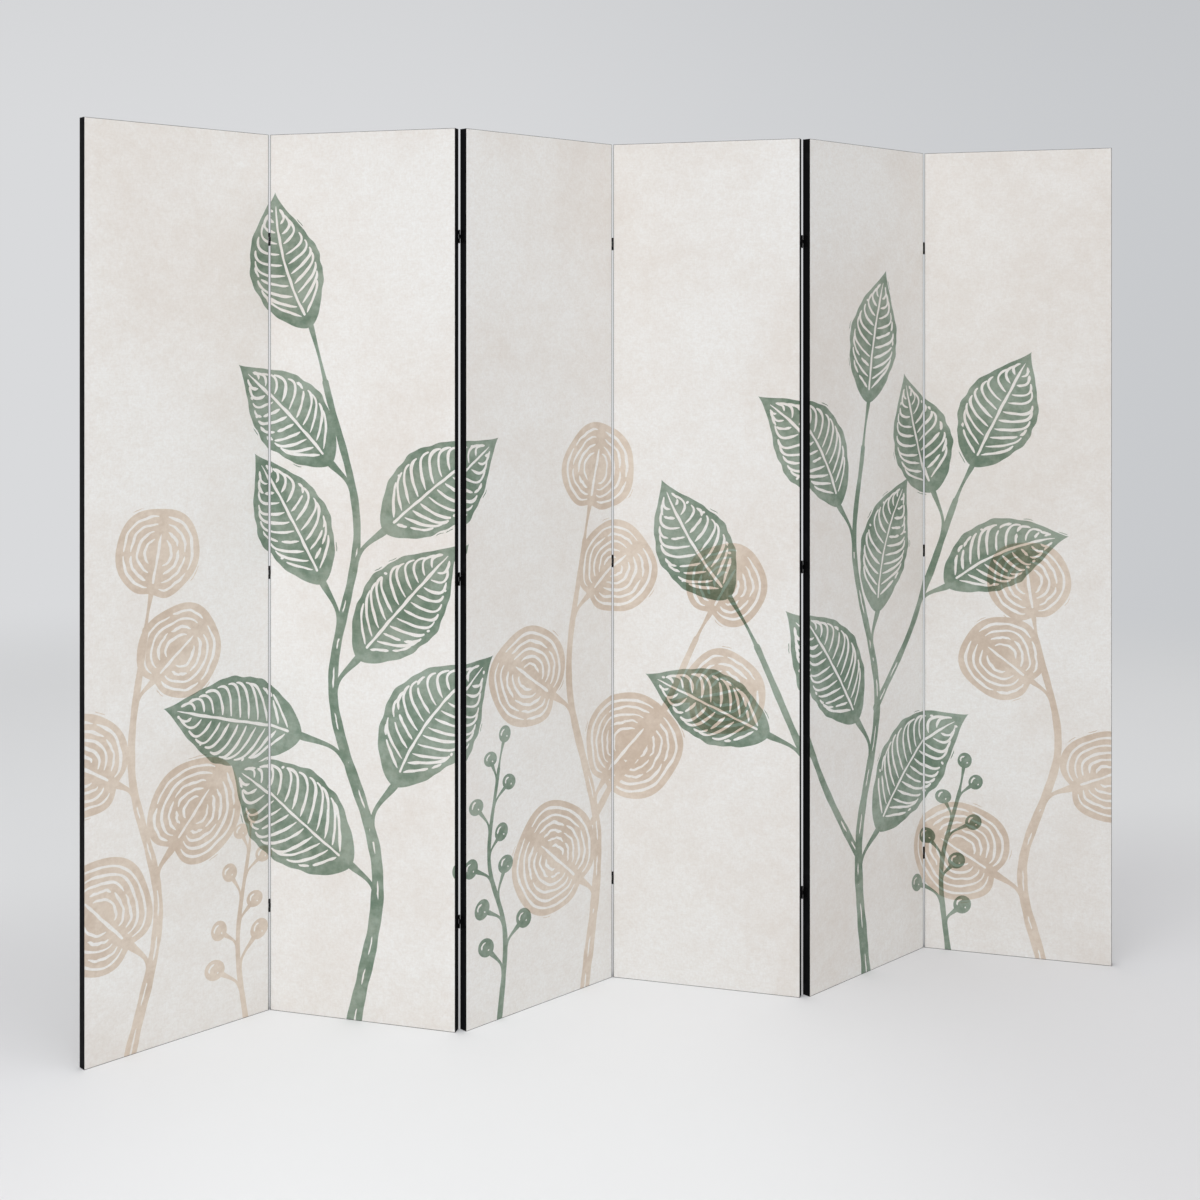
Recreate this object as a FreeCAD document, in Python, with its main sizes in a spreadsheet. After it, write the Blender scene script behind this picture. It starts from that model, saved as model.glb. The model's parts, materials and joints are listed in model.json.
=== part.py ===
import FreeCAD, Part
import os
import re
import Sketcher

# Folding screen of six canvas panels that stand in a zigzag, each hinged to the next with three
# small butt hinges. Lengths are in millimetres and angles in degrees. The row of panels runs along
# +X, the printed faces look towards -Y, and +Z is up. The origin is on the floor under the middle
# of the row. Each panel is drawn in its own frame: x along the panel from its left edge, y from
# its front face to its back face, z up from the floor. Its placement then turns it into the row.

# Driving sizes
SIZES = {
    # panels, over everything
    "panel_height": 1700,
    "panel_width": 383,
    "panel_thickness": 18,
    # turn of each panel out of the line of the row
    "zigzag_angle": 30,
    # timber frame inside a panel
    "stile_width": 35,
    "rail_height": 35,
    "tenon_length": 18,
    "tenon_thickness": 6,
    "tenon_shoulder": 5,
    "tenon_clearance": 0.1,
    # canvas, stretched over a face and turned over the frame's edge
    "canvas_thickness": 0.5,
    "canvas_turn": 6,
    "canvas_roll": 1,
    # strips that cover the turned canvas round the edge of a panel
    "strip_thickness": 0.5,
    "strip_inset": 0.25,
    "strip_joint": 0.1,
    # butt hinge: the space that it keeps between two panels, its axis in front of their faces, and
    # the room between its knuckles and a panel's edge
    "hinge_gap": 3.4,
    "axis_proud": 0.3,
    "hinge_height": 25,
    "hinge_end_distance": 203,
    "leaf_thickness": 0.7,
    "leaf_reach": 13,
    "knuckle_clearance": 0.3,
    "knuckle_gap": 0.2,
    "notch_clearance": 0.3,
    # pin of a hinge
    "pin_radius": 0.7,
    "pin_clearance": 0.05,
    "pin_head_radius": 1.1,
    "pin_head_height": 0.5,
    # countersunk screws of a hinge leaf
    "screw_spacing": 15,
    "screw_length": 12,
    "screw_head_radius": 2.2,
    "screw_shank_radius": 1.2,
    "screw_point_length": 2,
    "screw_point_radius": 0.2,
    "screw_clearance": 0.05,
}

# How many of each
PANELS = 6
RAILS_PER_PANEL = 3
HINGES_PER_FOLD = 3
KNUCKLES_PER_HINGE = 3
FULL_TURN = 360

# Places shared by several pieces, as formulas of the sizes
FRAME_EDGE = "(strip_thickness + canvas_thickness)"
FRAME_HEIGHT = f"(panel_height - 2 * {FRAME_EDGE})"
STILE_INNER = f"({FRAME_EDGE} + stile_width)"
TIMBER_DEPTH = "(panel_thickness - 2 * canvas_thickness)"
MIDDLE = "(panel_thickness / 2)"
RAIL_PITCH_TOTAL = f"({FRAME_HEIGHT} - rail_height)"
HINGE_PITCH_TOTAL = "(panel_height - 2 * hinge_end_distance)"
HINGE_FOOT = "(hinge_end_distance - hinge_height / 2)"
KNUCKLE_LENGTH = (
    f"((hinge_height - {KNUCKLES_PER_HINGE - 1} * knuckle_gap) / {KNUCKLES_PER_HINGE})"
)
KNUCKLE_RADIUS = "(hinge_gap / 2 - knuckle_clearance)"
NOTCH = f"({KNUCKLE_RADIUS} + notch_clearance)"

# Steps from one panel's corner to the next one's, across a fold that opens to the front (valley)
# and across one that opens to the back (peak)
ALONG = "cos(zigzag_angle * 1 deg)"
ACROSS = "sin(zigzag_angle * 1 deg)"
VALLEY_STEP = f"((panel_width + hinge_gap) * {ALONG} + 2 * axis_proud * {ACROSS})"
PEAK_STEP = (
    f"((panel_width + hinge_gap) * {ALONG} + 2 * (panel_thickness + axis_proud) * {ACROSS})"
)
ZIGZAG_DEPTH = f"(panel_width * {ACROSS})"
ROW_DEPTH = f"({ZIGZAG_DEPTH} + panel_thickness * {ALONG})"


def bound(formula):
    """Point every size that a formula names at its cell in the sheet."""
    return re.sub(r"[a-z_]+", lambda m: f"Sizes.{m[0]}" if m[0] in SIZES else m[0], formula)


def size_sheet(doc):
    """Put the driving sizes in a spreadsheet, one row each: its name, and its value."""
    sheet = doc.addObject("Spreadsheet::Sheet", "Sizes")
    for row, (name, value) in enumerate(SIZES.items(), start=1):
        sheet.set(f"A{row}", name)
        sheet.set(f"B{row}", str(value))
        sheet.setAlias(f"B{row}", name)
    doc.recompute()


def steps_before(panel):
    """Length of the row from the first panel's corner to the given panel's corner."""
    valleys = panel // 2
    peaks = (panel - 1) // 2
    return f"({valleys} * {VALLEY_STEP} + {peaks} * {PEAK_STEP})"


def panel_body(doc, panel, name):
    """Start a piece of a panel: a body that is named for the piece and placed with the panel."""
    body = doc.addObject("PartDesign::Body", name)
    body.Label = name
    leans_back = panel % 2 == 1
    turn_axis = FreeCAD.Vector(0, 0, 1 if leans_back else -1)
    body.Placement = FreeCAD.Placement(
        FreeCAD.Vector(), FreeCAD.Rotation(turn_axis, SIZES["zigzag_angle"])
    )
    row_half = f"({steps_before(PANELS)} + panel_width * {ALONG}) / 2"
    start_y = f"-{ROW_DEPTH} / 2"
    if not leans_back:
        start_y += f" + {ZIGZAG_DEPTH}"
    body.setExpression("Placement.Base.x", bound(f"{steps_before(panel)} - {row_half}"))
    body.setExpression("Placement.Base.y", bound(start_y))
    body.setExpression("Placement.Rotation.Angle", bound("zigzag_angle * 1 deg"))
    return body


def origin_feature(body, role):
    """Find one of a body's own origin planes or axes."""
    return next(part for part in body.Origin.OriginFeatures if part.Role == role)


def sketch_on(body, name, role, place):
    """Lay an empty sketch on an origin plane, moved by three formulas in the plane's own frame."""
    sketch = body.newObject("Sketcher::SketchObject", name)
    sketch.AttachmentSupport = [(origin_feature(body, role), "")]
    sketch.MapMode = "FlatFace"
    for axis, formula in zip("xyz", place):
        sketch.setExpression(f"AttachmentOffset.Base.{axis}", bound(formula))
    return sketch


def hold_point(sketch, line, end, axis, formula):
    """Fix one coordinate of a line's end by a formula."""
    if formula == "0":
        across = -2 if axis == "X" else -1
        sketch.addConstraint(Sketcher.Constraint("PointOnObject", line, end, across))
        return
    index = sketch.addConstraint(Sketcher.Constraint(f"Distance{axis}", -1, 1, line, end, 1.0))
    sketch.setExpression(f"Constraints[{index}]", bound(formula))


def outline(body, name, role, place, corners):
    """Sketch a closed outline of straight lines through corners that formulas give."""
    sketch = sketch_on(body, name, role, place)
    count = len(corners)
    rough = [FreeCAD.Rotation(FULL_TURN * i / count, 0, 0).multVec(FreeCAD.Vector(1, 0, 0))
             for i in range(count)]
    for i in range(count):
        sketch.addGeometry(Part.LineSegment(rough[i], rough[(i + 1) % count]), False)
    for i in range(count):
        sketch.addConstraint(Sketcher.Constraint("Coincident", i, 2, (i + 1) % count, 1))
    for i, (x, y) in enumerate(corners):
        hold_point(sketch, i, 1, "X", x)
        hold_point(sketch, i, 1, "Y", y)
    return sketch


def block(body, name, low, span, cut=False):
    """Add or cut a box: its low corner and its three sides are formulas."""
    wide, deep, tall = span
    corners = [("0", "0"), (wide, "0"), (wide, deep), ("0", deep)]
    sketch = outline(body, f"{name}_outline", "XY_Plane", low, corners)
    feature = body.newObject("PartDesign::Pocket" if cut else "PartDesign::Pad", name)
    feature.Profile = sketch
    feature.Reversed = cut
    feature.setExpression("Length", bound(tall))
    return feature


def rod(body, name, low, radius, tall, cut=False):
    """Add or cut an upright round bar: the centre of its foot, its radius and its length."""
    sketch = sketch_on(body, f"{name}_outline", "XY_Plane", low)
    sketch.addGeometry(Part.Circle(FreeCAD.Vector(), FreeCAD.Vector(0, 0, 1), 1.0), False)
    sketch.addConstraint(Sketcher.Constraint("Coincident", 0, 3, -1, 1))
    index = sketch.addConstraint(Sketcher.Constraint("Radius", 0, 1.0))
    sketch.setExpression(f"Constraints[{index}]", bound(radius))
    feature = body.newObject("PartDesign::Pocket" if cut else "PartDesign::Pad", name)
    feature.Profile = sketch
    feature.Reversed = cut
    feature.setExpression("Length", bound(tall))
    return feature


def repeat_up(body, name, features, total, count):
    """Repeat features up the panel, evenly over a total length."""
    pattern = body.newObject("PartDesign::LinearPattern", name)
    pattern.Originals = features
    pattern.Direction = (origin_feature(body, "Z_Axis"), [""])
    pattern.setExpression("Length", bound(total))
    pattern.Occurrences = count
    body.Tip = pattern
    return pattern


def screw_turning(body, name, side, height, cut=False):
    """Turn a countersunk screw's shape about its axis, or cut the hole that it fits in.

    The screw enters a panel's right or left edge at its mid-thickness, its head flush with the
    hinge leaf. The hole is larger than the screw by the screw's clearance all round.
    """
    inward = "-" if side == "right" else ""
    face = "panel_width + leaf_thickness" if side == "right" else "-leaf_thickness"
    room = " + screw_clearance" if cut else ""
    head = "screw_head_radius" + room
    shank = "screw_shank_radius" + room
    length = "screw_length" + room
    corners = [
        ("0", "0"),
        ("0", head),
        (f"{inward}(screw_head_radius - screw_shank_radius)", shank),
        (f"{inward}({length} - screw_point_length)", shank),
        (f"{inward}({length})", "screw_point_radius" + room),
        (f"{inward}({length})", "0"),
    ]
    place = (face, height, f"-{MIDDLE}")
    sketch = outline(body, f"{name}_outline", "XZ_Plane", place, corners)
    feature = body.newObject("PartDesign::Groove" if cut else "PartDesign::Revolution", name)
    feature.Profile = sketch
    feature.ReferenceAxis = (sketch, ["H_Axis"])
    feature.Angle = FULL_TURN
    return feature


def screw_pair(body, side, cut=False):
    """Both screws of one leaf of the lowest hinge, or their holes."""
    kind = "hole" if cut else "screw"
    return [
        screw_turning(
            body, f"{side}_{kind}_{place}", side, f"hinge_end_distance {sign} screw_spacing / 2", cut
        )
        for place, sign in (("low", "-"), ("high", "+"))
    ]


def screw_holes(body, side):
    """Holes for every hinge screw in one edge of a panel."""
    holes = screw_pair(body, side, cut=True)
    repeat_up(body, f"{side}_holes", holes, HINGE_PITCH_TOTAL, HINGES_PER_FOLD)


def stile(doc, panel, side, hinged):
    """Upright of the timber frame, mortised for the rails and drilled for hinge screws."""
    body = panel_body(doc, panel, f"panel_{panel}_{side}_stile")
    left = side == "left"
    low_x = FRAME_EDGE if left else f"panel_width - {STILE_INNER}"
    block(body, "upright", (low_x, "canvas_thickness", FRAME_EDGE),
          ("stile_width", TIMBER_DEPTH, FRAME_HEIGHT))
    deep = "(tenon_length + tenon_clearance)"
    mortise_x = f"{STILE_INNER} - {deep}" if left else f"panel_width - {STILE_INNER}"
    mortise = block(
        body, "mortise",
        (mortise_x, f"{MIDDLE} - tenon_thickness / 2 - tenon_clearance",
         f"{FRAME_EDGE} + tenon_shoulder - tenon_clearance"),
        (deep, "tenon_thickness + 2 * tenon_clearance",
         "rail_height - 2 * tenon_shoulder + 2 * tenon_clearance"),
        cut=True,
    )
    repeat_up(body, "mortises", [mortise], RAIL_PITCH_TOTAL, RAILS_PER_PANEL)
    if hinged:
        screw_holes(body, side)
    return body


def rails(doc, panel):
    """Bottom, middle and top rails of the timber frame, with a tenon at each end."""
    body = panel_body(doc, panel, f"panel_{panel}_rails")
    rail = block(
        body, "rail", (STILE_INNER, "canvas_thickness", FRAME_EDGE),
        (f"panel_width - 2 * {STILE_INNER}", TIMBER_DEPTH, "rail_height"),
    )
    tenons = block(
        body, "tenons",
        (f"{STILE_INNER} - tenon_length", f"{MIDDLE} - tenon_thickness / 2",
         f"{FRAME_EDGE} + tenon_shoulder"),
        (f"panel_width - 2 * {STILE_INNER} + 2 * tenon_length", "tenon_thickness",
         "rail_height - 2 * tenon_shoulder"),
    )
    repeat_up(body, "rail_row", [rail, tenons], RAIL_PITCH_TOTAL, RAILS_PER_PANEL)
    return body


def face_edges(shape, depth):
    """Name the edges of a shape that lie in the plane y = depth."""
    return [
        f"Edge{number}" for number, edge in enumerate(shape.Edges, start=1)
        if all(abs(vertex.Y - depth) < Part.Precision.confusion() for vertex in edge.Vertexes)
    ]


def canvas(doc, panel, face):
    """Canvas of one face, rolled over the frame's edge and turned back along it."""
    body = panel_body(doc, panel, f"panel_{panel}_{face}_canvas")
    front = face == "front"
    low_y = "0" if front else "panel_thickness - canvas_turn"
    outside = block(
        body, "stretched", ("strip_thickness", low_y, "strip_thickness"),
        ("panel_width - 2 * strip_thickness", "canvas_turn", "panel_height - 2 * strip_thickness"),
    )
    doc.recompute()
    roll = body.newObject("PartDesign::Fillet", "roll")
    roll.Base = (outside, face_edges(outside.Shape, 0 if front else SIZES["panel_thickness"]))
    roll.setExpression("Radius", bound("canvas_roll"))
    block(
        body, "room_for_frame",
        (FRAME_EDGE, "canvas_thickness" if front else low_y, FRAME_EDGE),
        (f"panel_width - 2 * {FRAME_EDGE}", "canvas_turn - canvas_thickness", FRAME_HEIGHT),
        cut=True,
    )
    return body


def edge_strips(doc, panel, hinged_sides):
    """Four strips round the edge of a panel: two full-height sides, and two ends between them."""
    body = panel_body(doc, panel, f"panel_{panel}_edge_strips")
    deep = "panel_thickness - 2 * strip_inset"
    for name, low_x in (("left", "0"), ("right", "panel_width - strip_thickness")):
        block(body, f"{name}_strip", (low_x, "strip_inset", "0"),
              ("strip_thickness", deep, "panel_height"))
    end_x = "strip_thickness + strip_joint"
    for name, low_z in (("bottom", "0"), ("top", "panel_height - strip_thickness")):
        block(body, f"{name}_strip", (end_x, "strip_inset", low_z),
              (f"panel_width - 2 * ({end_x})", deep, "strip_thickness"))
    for side in hinged_sides:
        screw_holes(body, side)
    return body


def hinge_screws(doc, panel, hinged_sides):
    """Screws of every hinge leaf on a panel."""
    body = panel_body(doc, panel, f"panel_{panel}_hinge_screws")
    screws = [screw for side in hinged_sides for screw in screw_pair(body, side)]
    repeat_up(body, "screw_row", screws, HINGE_PITCH_TOTAL, HINGES_PER_FOLD)
    return body


def hinge_axis(side, valley):
    """Place of a hinge's axis in the frame of the panel whose edge it is on."""
    along = "panel_width + hinge_gap / 2" if side == "right" else "-hinge_gap / 2"
    across = "-axis_proud" if valley else "panel_thickness + axis_proud"
    return along, across


def hinge_leaves(doc, panel, side, valley, name):
    """The leaves of three hinges on one edge of a panel.

    A leaf is a plate flat on the edge strip, with its knuckles rolled round the pin. The leaf on a
    right edge has the two outer knuckles and the one on a left edge has the middle knuckle. Where
    the other leaf's knuckle turns, the plate is cut back to a notch.
    """
    body = panel_body(doc, panel, name)
    axis_x, axis_y = hinge_axis(side, valley)
    plate_x = "panel_width" if side == "right" else "-leaf_thickness"
    if valley:
        root_y = axis_y
        plate_y = f"{axis_y} + {NOTCH}"
    else:
        root_y = f"{axis_y} - {NOTCH}"
        plate_y = "panel_thickness - leaf_reach"
    parts = [block(body, "plate", (plate_x, plate_y, HINGE_FOOT),
                   ("leaf_thickness", f"leaf_reach + axis_proud - {NOTCH}", "hinge_height"))]
    knuckles = (0, 2) if side == "right" else (1,)
    for number in knuckles:
        foot = f"{HINGE_FOOT} + {number} * ({KNUCKLE_LENGTH} + knuckle_gap)"
        parts.append(block(body, f"root_{number}", (plate_x, root_y, foot),
                           ("leaf_thickness", NOTCH, KNUCKLE_LENGTH)))
        parts.append(rod(body, f"knuckle_{number}", (axis_x, axis_y, foot),
                         KNUCKLE_RADIUS, KNUCKLE_LENGTH))
    parts.append(rod(body, "bore", (axis_x, axis_y, HINGE_FOOT),
                     "pin_radius + pin_clearance", "hinge_height", cut=True))
    parts += screw_pair(body, side, cut=True)
    repeat_up(body, "leaf_row", parts, HINGE_PITCH_TOTAL, HINGES_PER_FOLD)
    return body


def hinge_pins(doc, panel, valley, name):
    """The pins of three hinges on the right edge of a panel, each with a head at both ends."""
    body = panel_body(doc, panel, name)
    axis_x, axis_y = hinge_axis("right", valley)
    parts = [rod(body, "shank", (axis_x, axis_y, HINGE_FOOT), "pin_radius", "hinge_height")]
    for end, foot in (("bottom", f"{HINGE_FOOT} - pin_head_height"),
                      ("top", f"{HINGE_FOOT} + hinge_height")):
        parts.append(rod(body, f"{end}_head", (axis_x, axis_y, foot),
                         "pin_head_radius", "pin_head_height"))
    repeat_up(body, "pin_row", parts, HINGE_PITCH_TOTAL, HINGES_PER_FOLD)
    return body


def build_panel(doc, panel):
    """Every piece of one panel, apart from its hinge leaves."""
    hinged_sides = [side for side, has in (("left", panel > 1), ("right", panel < PANELS)) if has]
    pieces = [stile(doc, panel, side, side in hinged_sides) for side in ("left", "right")]
    pieces.append(rails(doc, panel))
    pieces += [canvas(doc, panel, face) for face in ("front", "back")]
    pieces.append(edge_strips(doc, panel, hinged_sides))
    pieces.append(hinge_screws(doc, panel, hinged_sides))
    return pieces


def build_fold(doc, panel):
    """The hinges between a panel and the next one. Odd panels start a valley, even ones a peak."""
    valley = panel % 2 == 1
    fold = f"fold_{panel}_{panel + 1}"
    return [
        hinge_leaves(doc, panel, "right", valley, f"{fold}_left_leaves"),
        hinge_leaves(doc, panel + 1, "left", valley, f"{fold}_right_leaves"),
        hinge_pins(doc, panel, valley, f"{fold}_pins"),
    ]


def check(doc, pieces):
    """Stop if any object of the document failed, or if any piece has no sound shape."""
    for item in doc.Objects:
        if "Invalid" in item.State or "Error" in item.State:
            raise RuntimeError(f"{item.Label} did not build: {item.State}")
    for piece in pieces:
        if piece.Shape.isNull() or not piece.Shape.isValid() or not piece.Shape.Solids:
            raise RuntimeError(f"{piece.Label} has no sound shape")


def main():
    """Build the screen and write each piece to its own file."""
    doc = FreeCAD.newDocument("folding_screen")
    size_sheet(doc)
    pieces = []
    for panel in range(1, PANELS + 1):
        pieces += build_panel(doc, panel)
    for panel in range(1, PANELS):
        pieces += build_fold(doc, panel)
    doc.recompute()
    check(doc, pieces)
    os.makedirs("parts", exist_ok=True)
    for piece in pieces:
        piece.Shape.exportStep(f"parts/{piece.Label}.step")
        print(piece.Label, len(piece.Shape.Solids), round(piece.Shape.Volume, 3))


main()
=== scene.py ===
"""Folding screen of six printed panels: cloth, print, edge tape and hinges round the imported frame.

Lengths in the classes are millimetres in a panel's own frame: x runs along the panel from its left
edge, y from its front face to its back face, and z up. Zigzag turns them into metres in the row.
"""

from __future__ import annotations

import json
import logging
import math
import random
from collections.abc import Callable, Iterable, Sequence
from dataclasses import dataclass, field
from enum import Enum

import bmesh
import bpy
import numpy as np
from mathutils import Matrix, Vector
from mathutils.geometry import delaunay_2d_cdt

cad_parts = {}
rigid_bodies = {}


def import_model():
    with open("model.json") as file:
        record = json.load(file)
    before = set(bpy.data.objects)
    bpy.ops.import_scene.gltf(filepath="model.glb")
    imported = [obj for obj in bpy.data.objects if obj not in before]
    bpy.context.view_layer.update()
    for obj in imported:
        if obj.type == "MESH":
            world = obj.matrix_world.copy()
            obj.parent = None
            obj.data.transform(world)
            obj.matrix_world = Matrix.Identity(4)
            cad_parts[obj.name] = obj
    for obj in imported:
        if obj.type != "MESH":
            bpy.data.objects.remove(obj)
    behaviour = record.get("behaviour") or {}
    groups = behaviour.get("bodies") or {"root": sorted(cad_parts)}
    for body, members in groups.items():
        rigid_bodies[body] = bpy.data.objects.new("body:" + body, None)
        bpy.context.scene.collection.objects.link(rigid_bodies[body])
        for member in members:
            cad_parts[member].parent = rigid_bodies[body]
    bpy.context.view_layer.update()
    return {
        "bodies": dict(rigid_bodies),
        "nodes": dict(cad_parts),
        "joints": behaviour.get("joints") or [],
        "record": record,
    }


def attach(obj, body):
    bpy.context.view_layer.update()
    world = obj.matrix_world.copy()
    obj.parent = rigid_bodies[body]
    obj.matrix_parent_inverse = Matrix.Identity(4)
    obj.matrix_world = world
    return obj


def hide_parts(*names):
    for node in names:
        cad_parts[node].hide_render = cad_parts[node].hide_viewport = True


LOG = logging.getLogger("folding_screen")
MM = 0.001
PANELS = 6
CLOTH_UV = "cloth"
FLOAT, VECTOR = "NodeSocketFloat", "NodeSocketVector"
# In millimetres: points this near are one point, and loops this near meet
WELD = 0.0005
LOOPS_MEET = 1e-4

Colour = tuple[float, float, float, float]
Point = tuple[float, float]
Triple = tuple[float, float, float]
Place = Callable[[float, float, float], Triple]
Socket = bpy.types.NodeSocket


def srgb(red: float, green: float, blue: float) -> Colour:
    """Turn a colour on the 0 to 255 display scale into the linear one that shaders take.

    Args:
        red: Red on the display scale.
        green: Green on the display scale.
        blue: Blue on the display scale.

    Returns:
        The linear colour, opaque.
    """
    def linear(value: float) -> float:
        """Undo the display curve of one channel."""
        share = value / 255
        return share / 12.92 if share <= 0.04045 else ((share + 0.055) / 1.055) ** 2.4

    return (linear(red), linear(green), linear(blue), 1.0)


class Edge(Enum):
    """The two upright edges of a panel."""

    LEFT = "left"
    RIGHT = "right"


class Face(Enum):
    """The two broad faces of a panel."""

    FRONT = "front"
    BACK = "back"


class Ink(Enum):
    """The inks of the print, by the name of the face attribute that carries them."""

    SAGE = "sage"
    BEIGE = "beige"


class Slot(Enum):
    """The record's material slots."""

    PINE = "pine"
    PRINTED = "printed_canvas"
    PLAIN = "plain_canvas"
    STRIP = "edge_strip"
    HINGE = "hinge_metal"
    PIN = "pin_metal"
    SCREW = "screw_metal"


@dataclass(frozen=True)
class Zigzag:
    """How the six panels stand at rest."""

    width: float = 383.0
    thickness: float = 18.0
    height: float = 1700.0
    gap: float = 3.4
    axis_proud: float = 0.3
    turn: float = math.radians(30)

    def panel_matrix(self, panel: int) -> Matrix:
        """Find the turn and place that take a panel's own frame to the row.

        Args:
            panel: The panel's number, from 1 at the left.

        Returns:
            A matrix from millimetres in the panel to metres in the row.
        """
        cosine, sine = math.cos(self.turn), math.sin(self.turn)
        step = (self.width + self.gap) * cosine
        valley = step + 2 * self.axis_proud * sine
        peak = step + 2 * (self.thickness + self.axis_proud) * sine
        folds = PANELS - 1
        length = (folds + 1) // 2 * valley + folds // 2 * peak + self.width * cosine
        depth = self.width * sine + self.thickness * cosine
        rising = panel % 2 == 1
        x = -length / 2 + panel // 2 * valley + (panel - 1) // 2 * peak
        y = -depth / 2 + (0 if rising else self.width * sine)
        slope = sine if rising else -sine
        turned = Matrix(((cosine, -slope, 0, x), (slope, cosine, 0, y), (0, 0, 1, 0), (0, 0, 0, 1)))
        return Matrix.Diagonal((MM, MM, MM, 1)) @ turned

    def is_valley(self, fold: int) -> bool:
        """Tell whether a fold, named by its left panel, turns about the front faces."""
        return fold % 2 == 1


class Parts:
    """Vertices and faces gathered for one mesh."""

    def __init__(self) -> None:
        """Start with nothing gathered."""
        self.points: list[Vector] = []
        self.faces: list[tuple[int, ...]] = []

    def add(self, points: Iterable[Sequence[float]], faces: Iterable[Sequence[int]]) -> None:
        """Add one shape.

        Args:
            points: The shape's vertices.
            faces: Its faces, as indices into those vertices.
        """
        base = len(self.points)
        self.points += [Vector(p) for p in points]
        self.faces += [tuple(base + i for i in face) for face in faces]

    def mesh(self, name: str) -> bpy.types.Mesh:
        """Close the gathered shapes into a mesh with its faces outward.

        Args:
            name: The mesh's name.

        Returns:
            The mesh, still in the units that its shapes were given in.
        """
        made = bpy.data.meshes.new(name)
        made.from_pydata(self.points, [], self.faces)
        work = bmesh.new()
        work.from_mesh(made)
        bmesh.ops.remove_doubles(work, verts=work.verts, dist=WELD)
        bmesh.ops.recalc_face_normals(work, faces=work.faces)
        work.to_mesh(made)
        work.free()
        return made


def polar(centre: Sequence[float], turn: np.ndarray, reach: np.ndarray | float) -> np.ndarray:
    """Find points by their angle and distance from a centre."""
    return np.column_stack((centre[0] + reach * np.cos(turn), centre[1] + reach * np.sin(turn)))


def circle(centre: Point, radius: float, count: int) -> np.ndarray:
    """Find evenly spaced points on a circle, anticlockwise.

    Args:
        centre: The middle of the circle.
        radius: Its radius.
        count: The number of points.

    Returns:
        The points, one in each row.
    """
    return polar(centre, np.linspace(0, 2 * math.pi, count, endpoint=False), radius)


def inside(outline: np.ndarray, points: np.ndarray) -> np.ndarray:
    """Test which points lie inside a closed outline.

    Args:
        outline: The outline's corners, one in each row.
        points: The points to test, one in each row.

    Returns:
        True for each point that is inside.
    """
    result = np.zeros(len(points), bool)
    low, high = outline.min(0), outline.max(0)
    near = np.flatnonzero(np.all((points >= low) & (points <= high), axis=1))
    if not len(near):
        return result
    x, y = points[near, 0][:, None], points[near, 1][:, None]
    start, end = outline, np.roll(outline, -1, axis=0)
    spans = (start[:, 1] > y) != (end[:, 1] > y)
    rise = np.where(end[:, 1] == start[:, 1], 1, end[:, 1] - start[:, 1])
    crossing = start[:, 0] + (y - start[:, 1]) * (end[:, 0] - start[:, 0]) / rise
    result[near] = np.count_nonzero(spans & (x < crossing), axis=1) % 2 == 1
    return result


def triangulate(loops: Sequence[np.ndarray]) -> tuple[np.ndarray, np.ndarray]:
    """Fill the plane between closed loops with triangles that keep the loops as edges.

    Args:
        loops: The loops, which may cross each other.

    Returns:
        The vertices and the triangles.
    """
    points = np.vstack(loops)
    edges, base = [], 0
    for loop in loops:
        edges += [(base + i, base + (i + 1) % len(loop)) for i in range(len(loop))]
        base += len(loop)
    made = delaunay_2d_cdt([Vector(p) for p in points], edges, [], 0, LOOPS_MEET, True)
    return np.array([tuple(v) for v in made[0]]), np.array(made[2])


def slab_with_holes(
    parts: Parts,
    outline: np.ndarray,
    holes: Sequence[tuple[np.ndarray, np.ndarray]],
    levels: tuple[float, float],
    place: Place,
) -> None:
    """Add a slab with holes that may widen from one face to the other.

    Args:
        parts: Where the slab is added.
        outline: The slab's outline, anticlockwise.
        holes: For each hole its loop on the first face and on the second face.
        levels: The heights of the two faces.
        place: Turns two outline coordinates and a height into a point.
    """
    firsts = [outline, *(first for first, _ in holes)]
    seconds = [outline, *(second for _, second in holes)]
    for loops, level in ((firsts, levels[0]), (seconds, levels[1])):
        corners, triangles = triangulate(loops)
        centres = corners[triangles].mean(axis=1)
        keep = inside(outline, centres)
        for hole in loops[1:]:
            keep &= ~inside(hole, centres)
        parts.add([place(u, v, level) for u, v in corners], triangles[keep].tolist())
    for first, second in zip(firsts, seconds):
        count = len(first)
        rims = [place(u, v, levels[0]) for u, v in first] + [place(u, v, levels[1]) for u, v in second]
        walls = [(i, (i + 1) % count, count + (i + 1) % count, count + i) for i in range(count)]
        parts.add(rims, walls)


def turned(parts: Parts, profile: Sequence[Point], count: int, place: Place) -> None:
    """Add a shape turned about an axis, closed at each end that reaches the axis.

    Args:
        parts: Where the shape is added.
        profile: Radius and height along the axis, from one end to the other.
        count: The number of sides.
        place: Turns two coordinates across the axis and one along it into a point.
    """
    rings: list[list[int]] = []
    points: list[Triple] = []
    for radius, height in profile:
        if radius == 0:
            rings.append([len(points)] * count)
            points.append(place(0, 0, height))
        else:
            rings.append(list(range(len(points), len(points) + count)))
            points += [place(u, v, height) for u, v in circle((0, 0), radius, count)]
    faces = []
    for low, high in zip(rings, rings[1:]):
        for i in range(count):
            j = (i + 1) % count
            corners = dict.fromkeys((low[i], low[j], high[j], high[i]))
            faces.append(tuple(corners))
    parts.add(points, faces)


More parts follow.
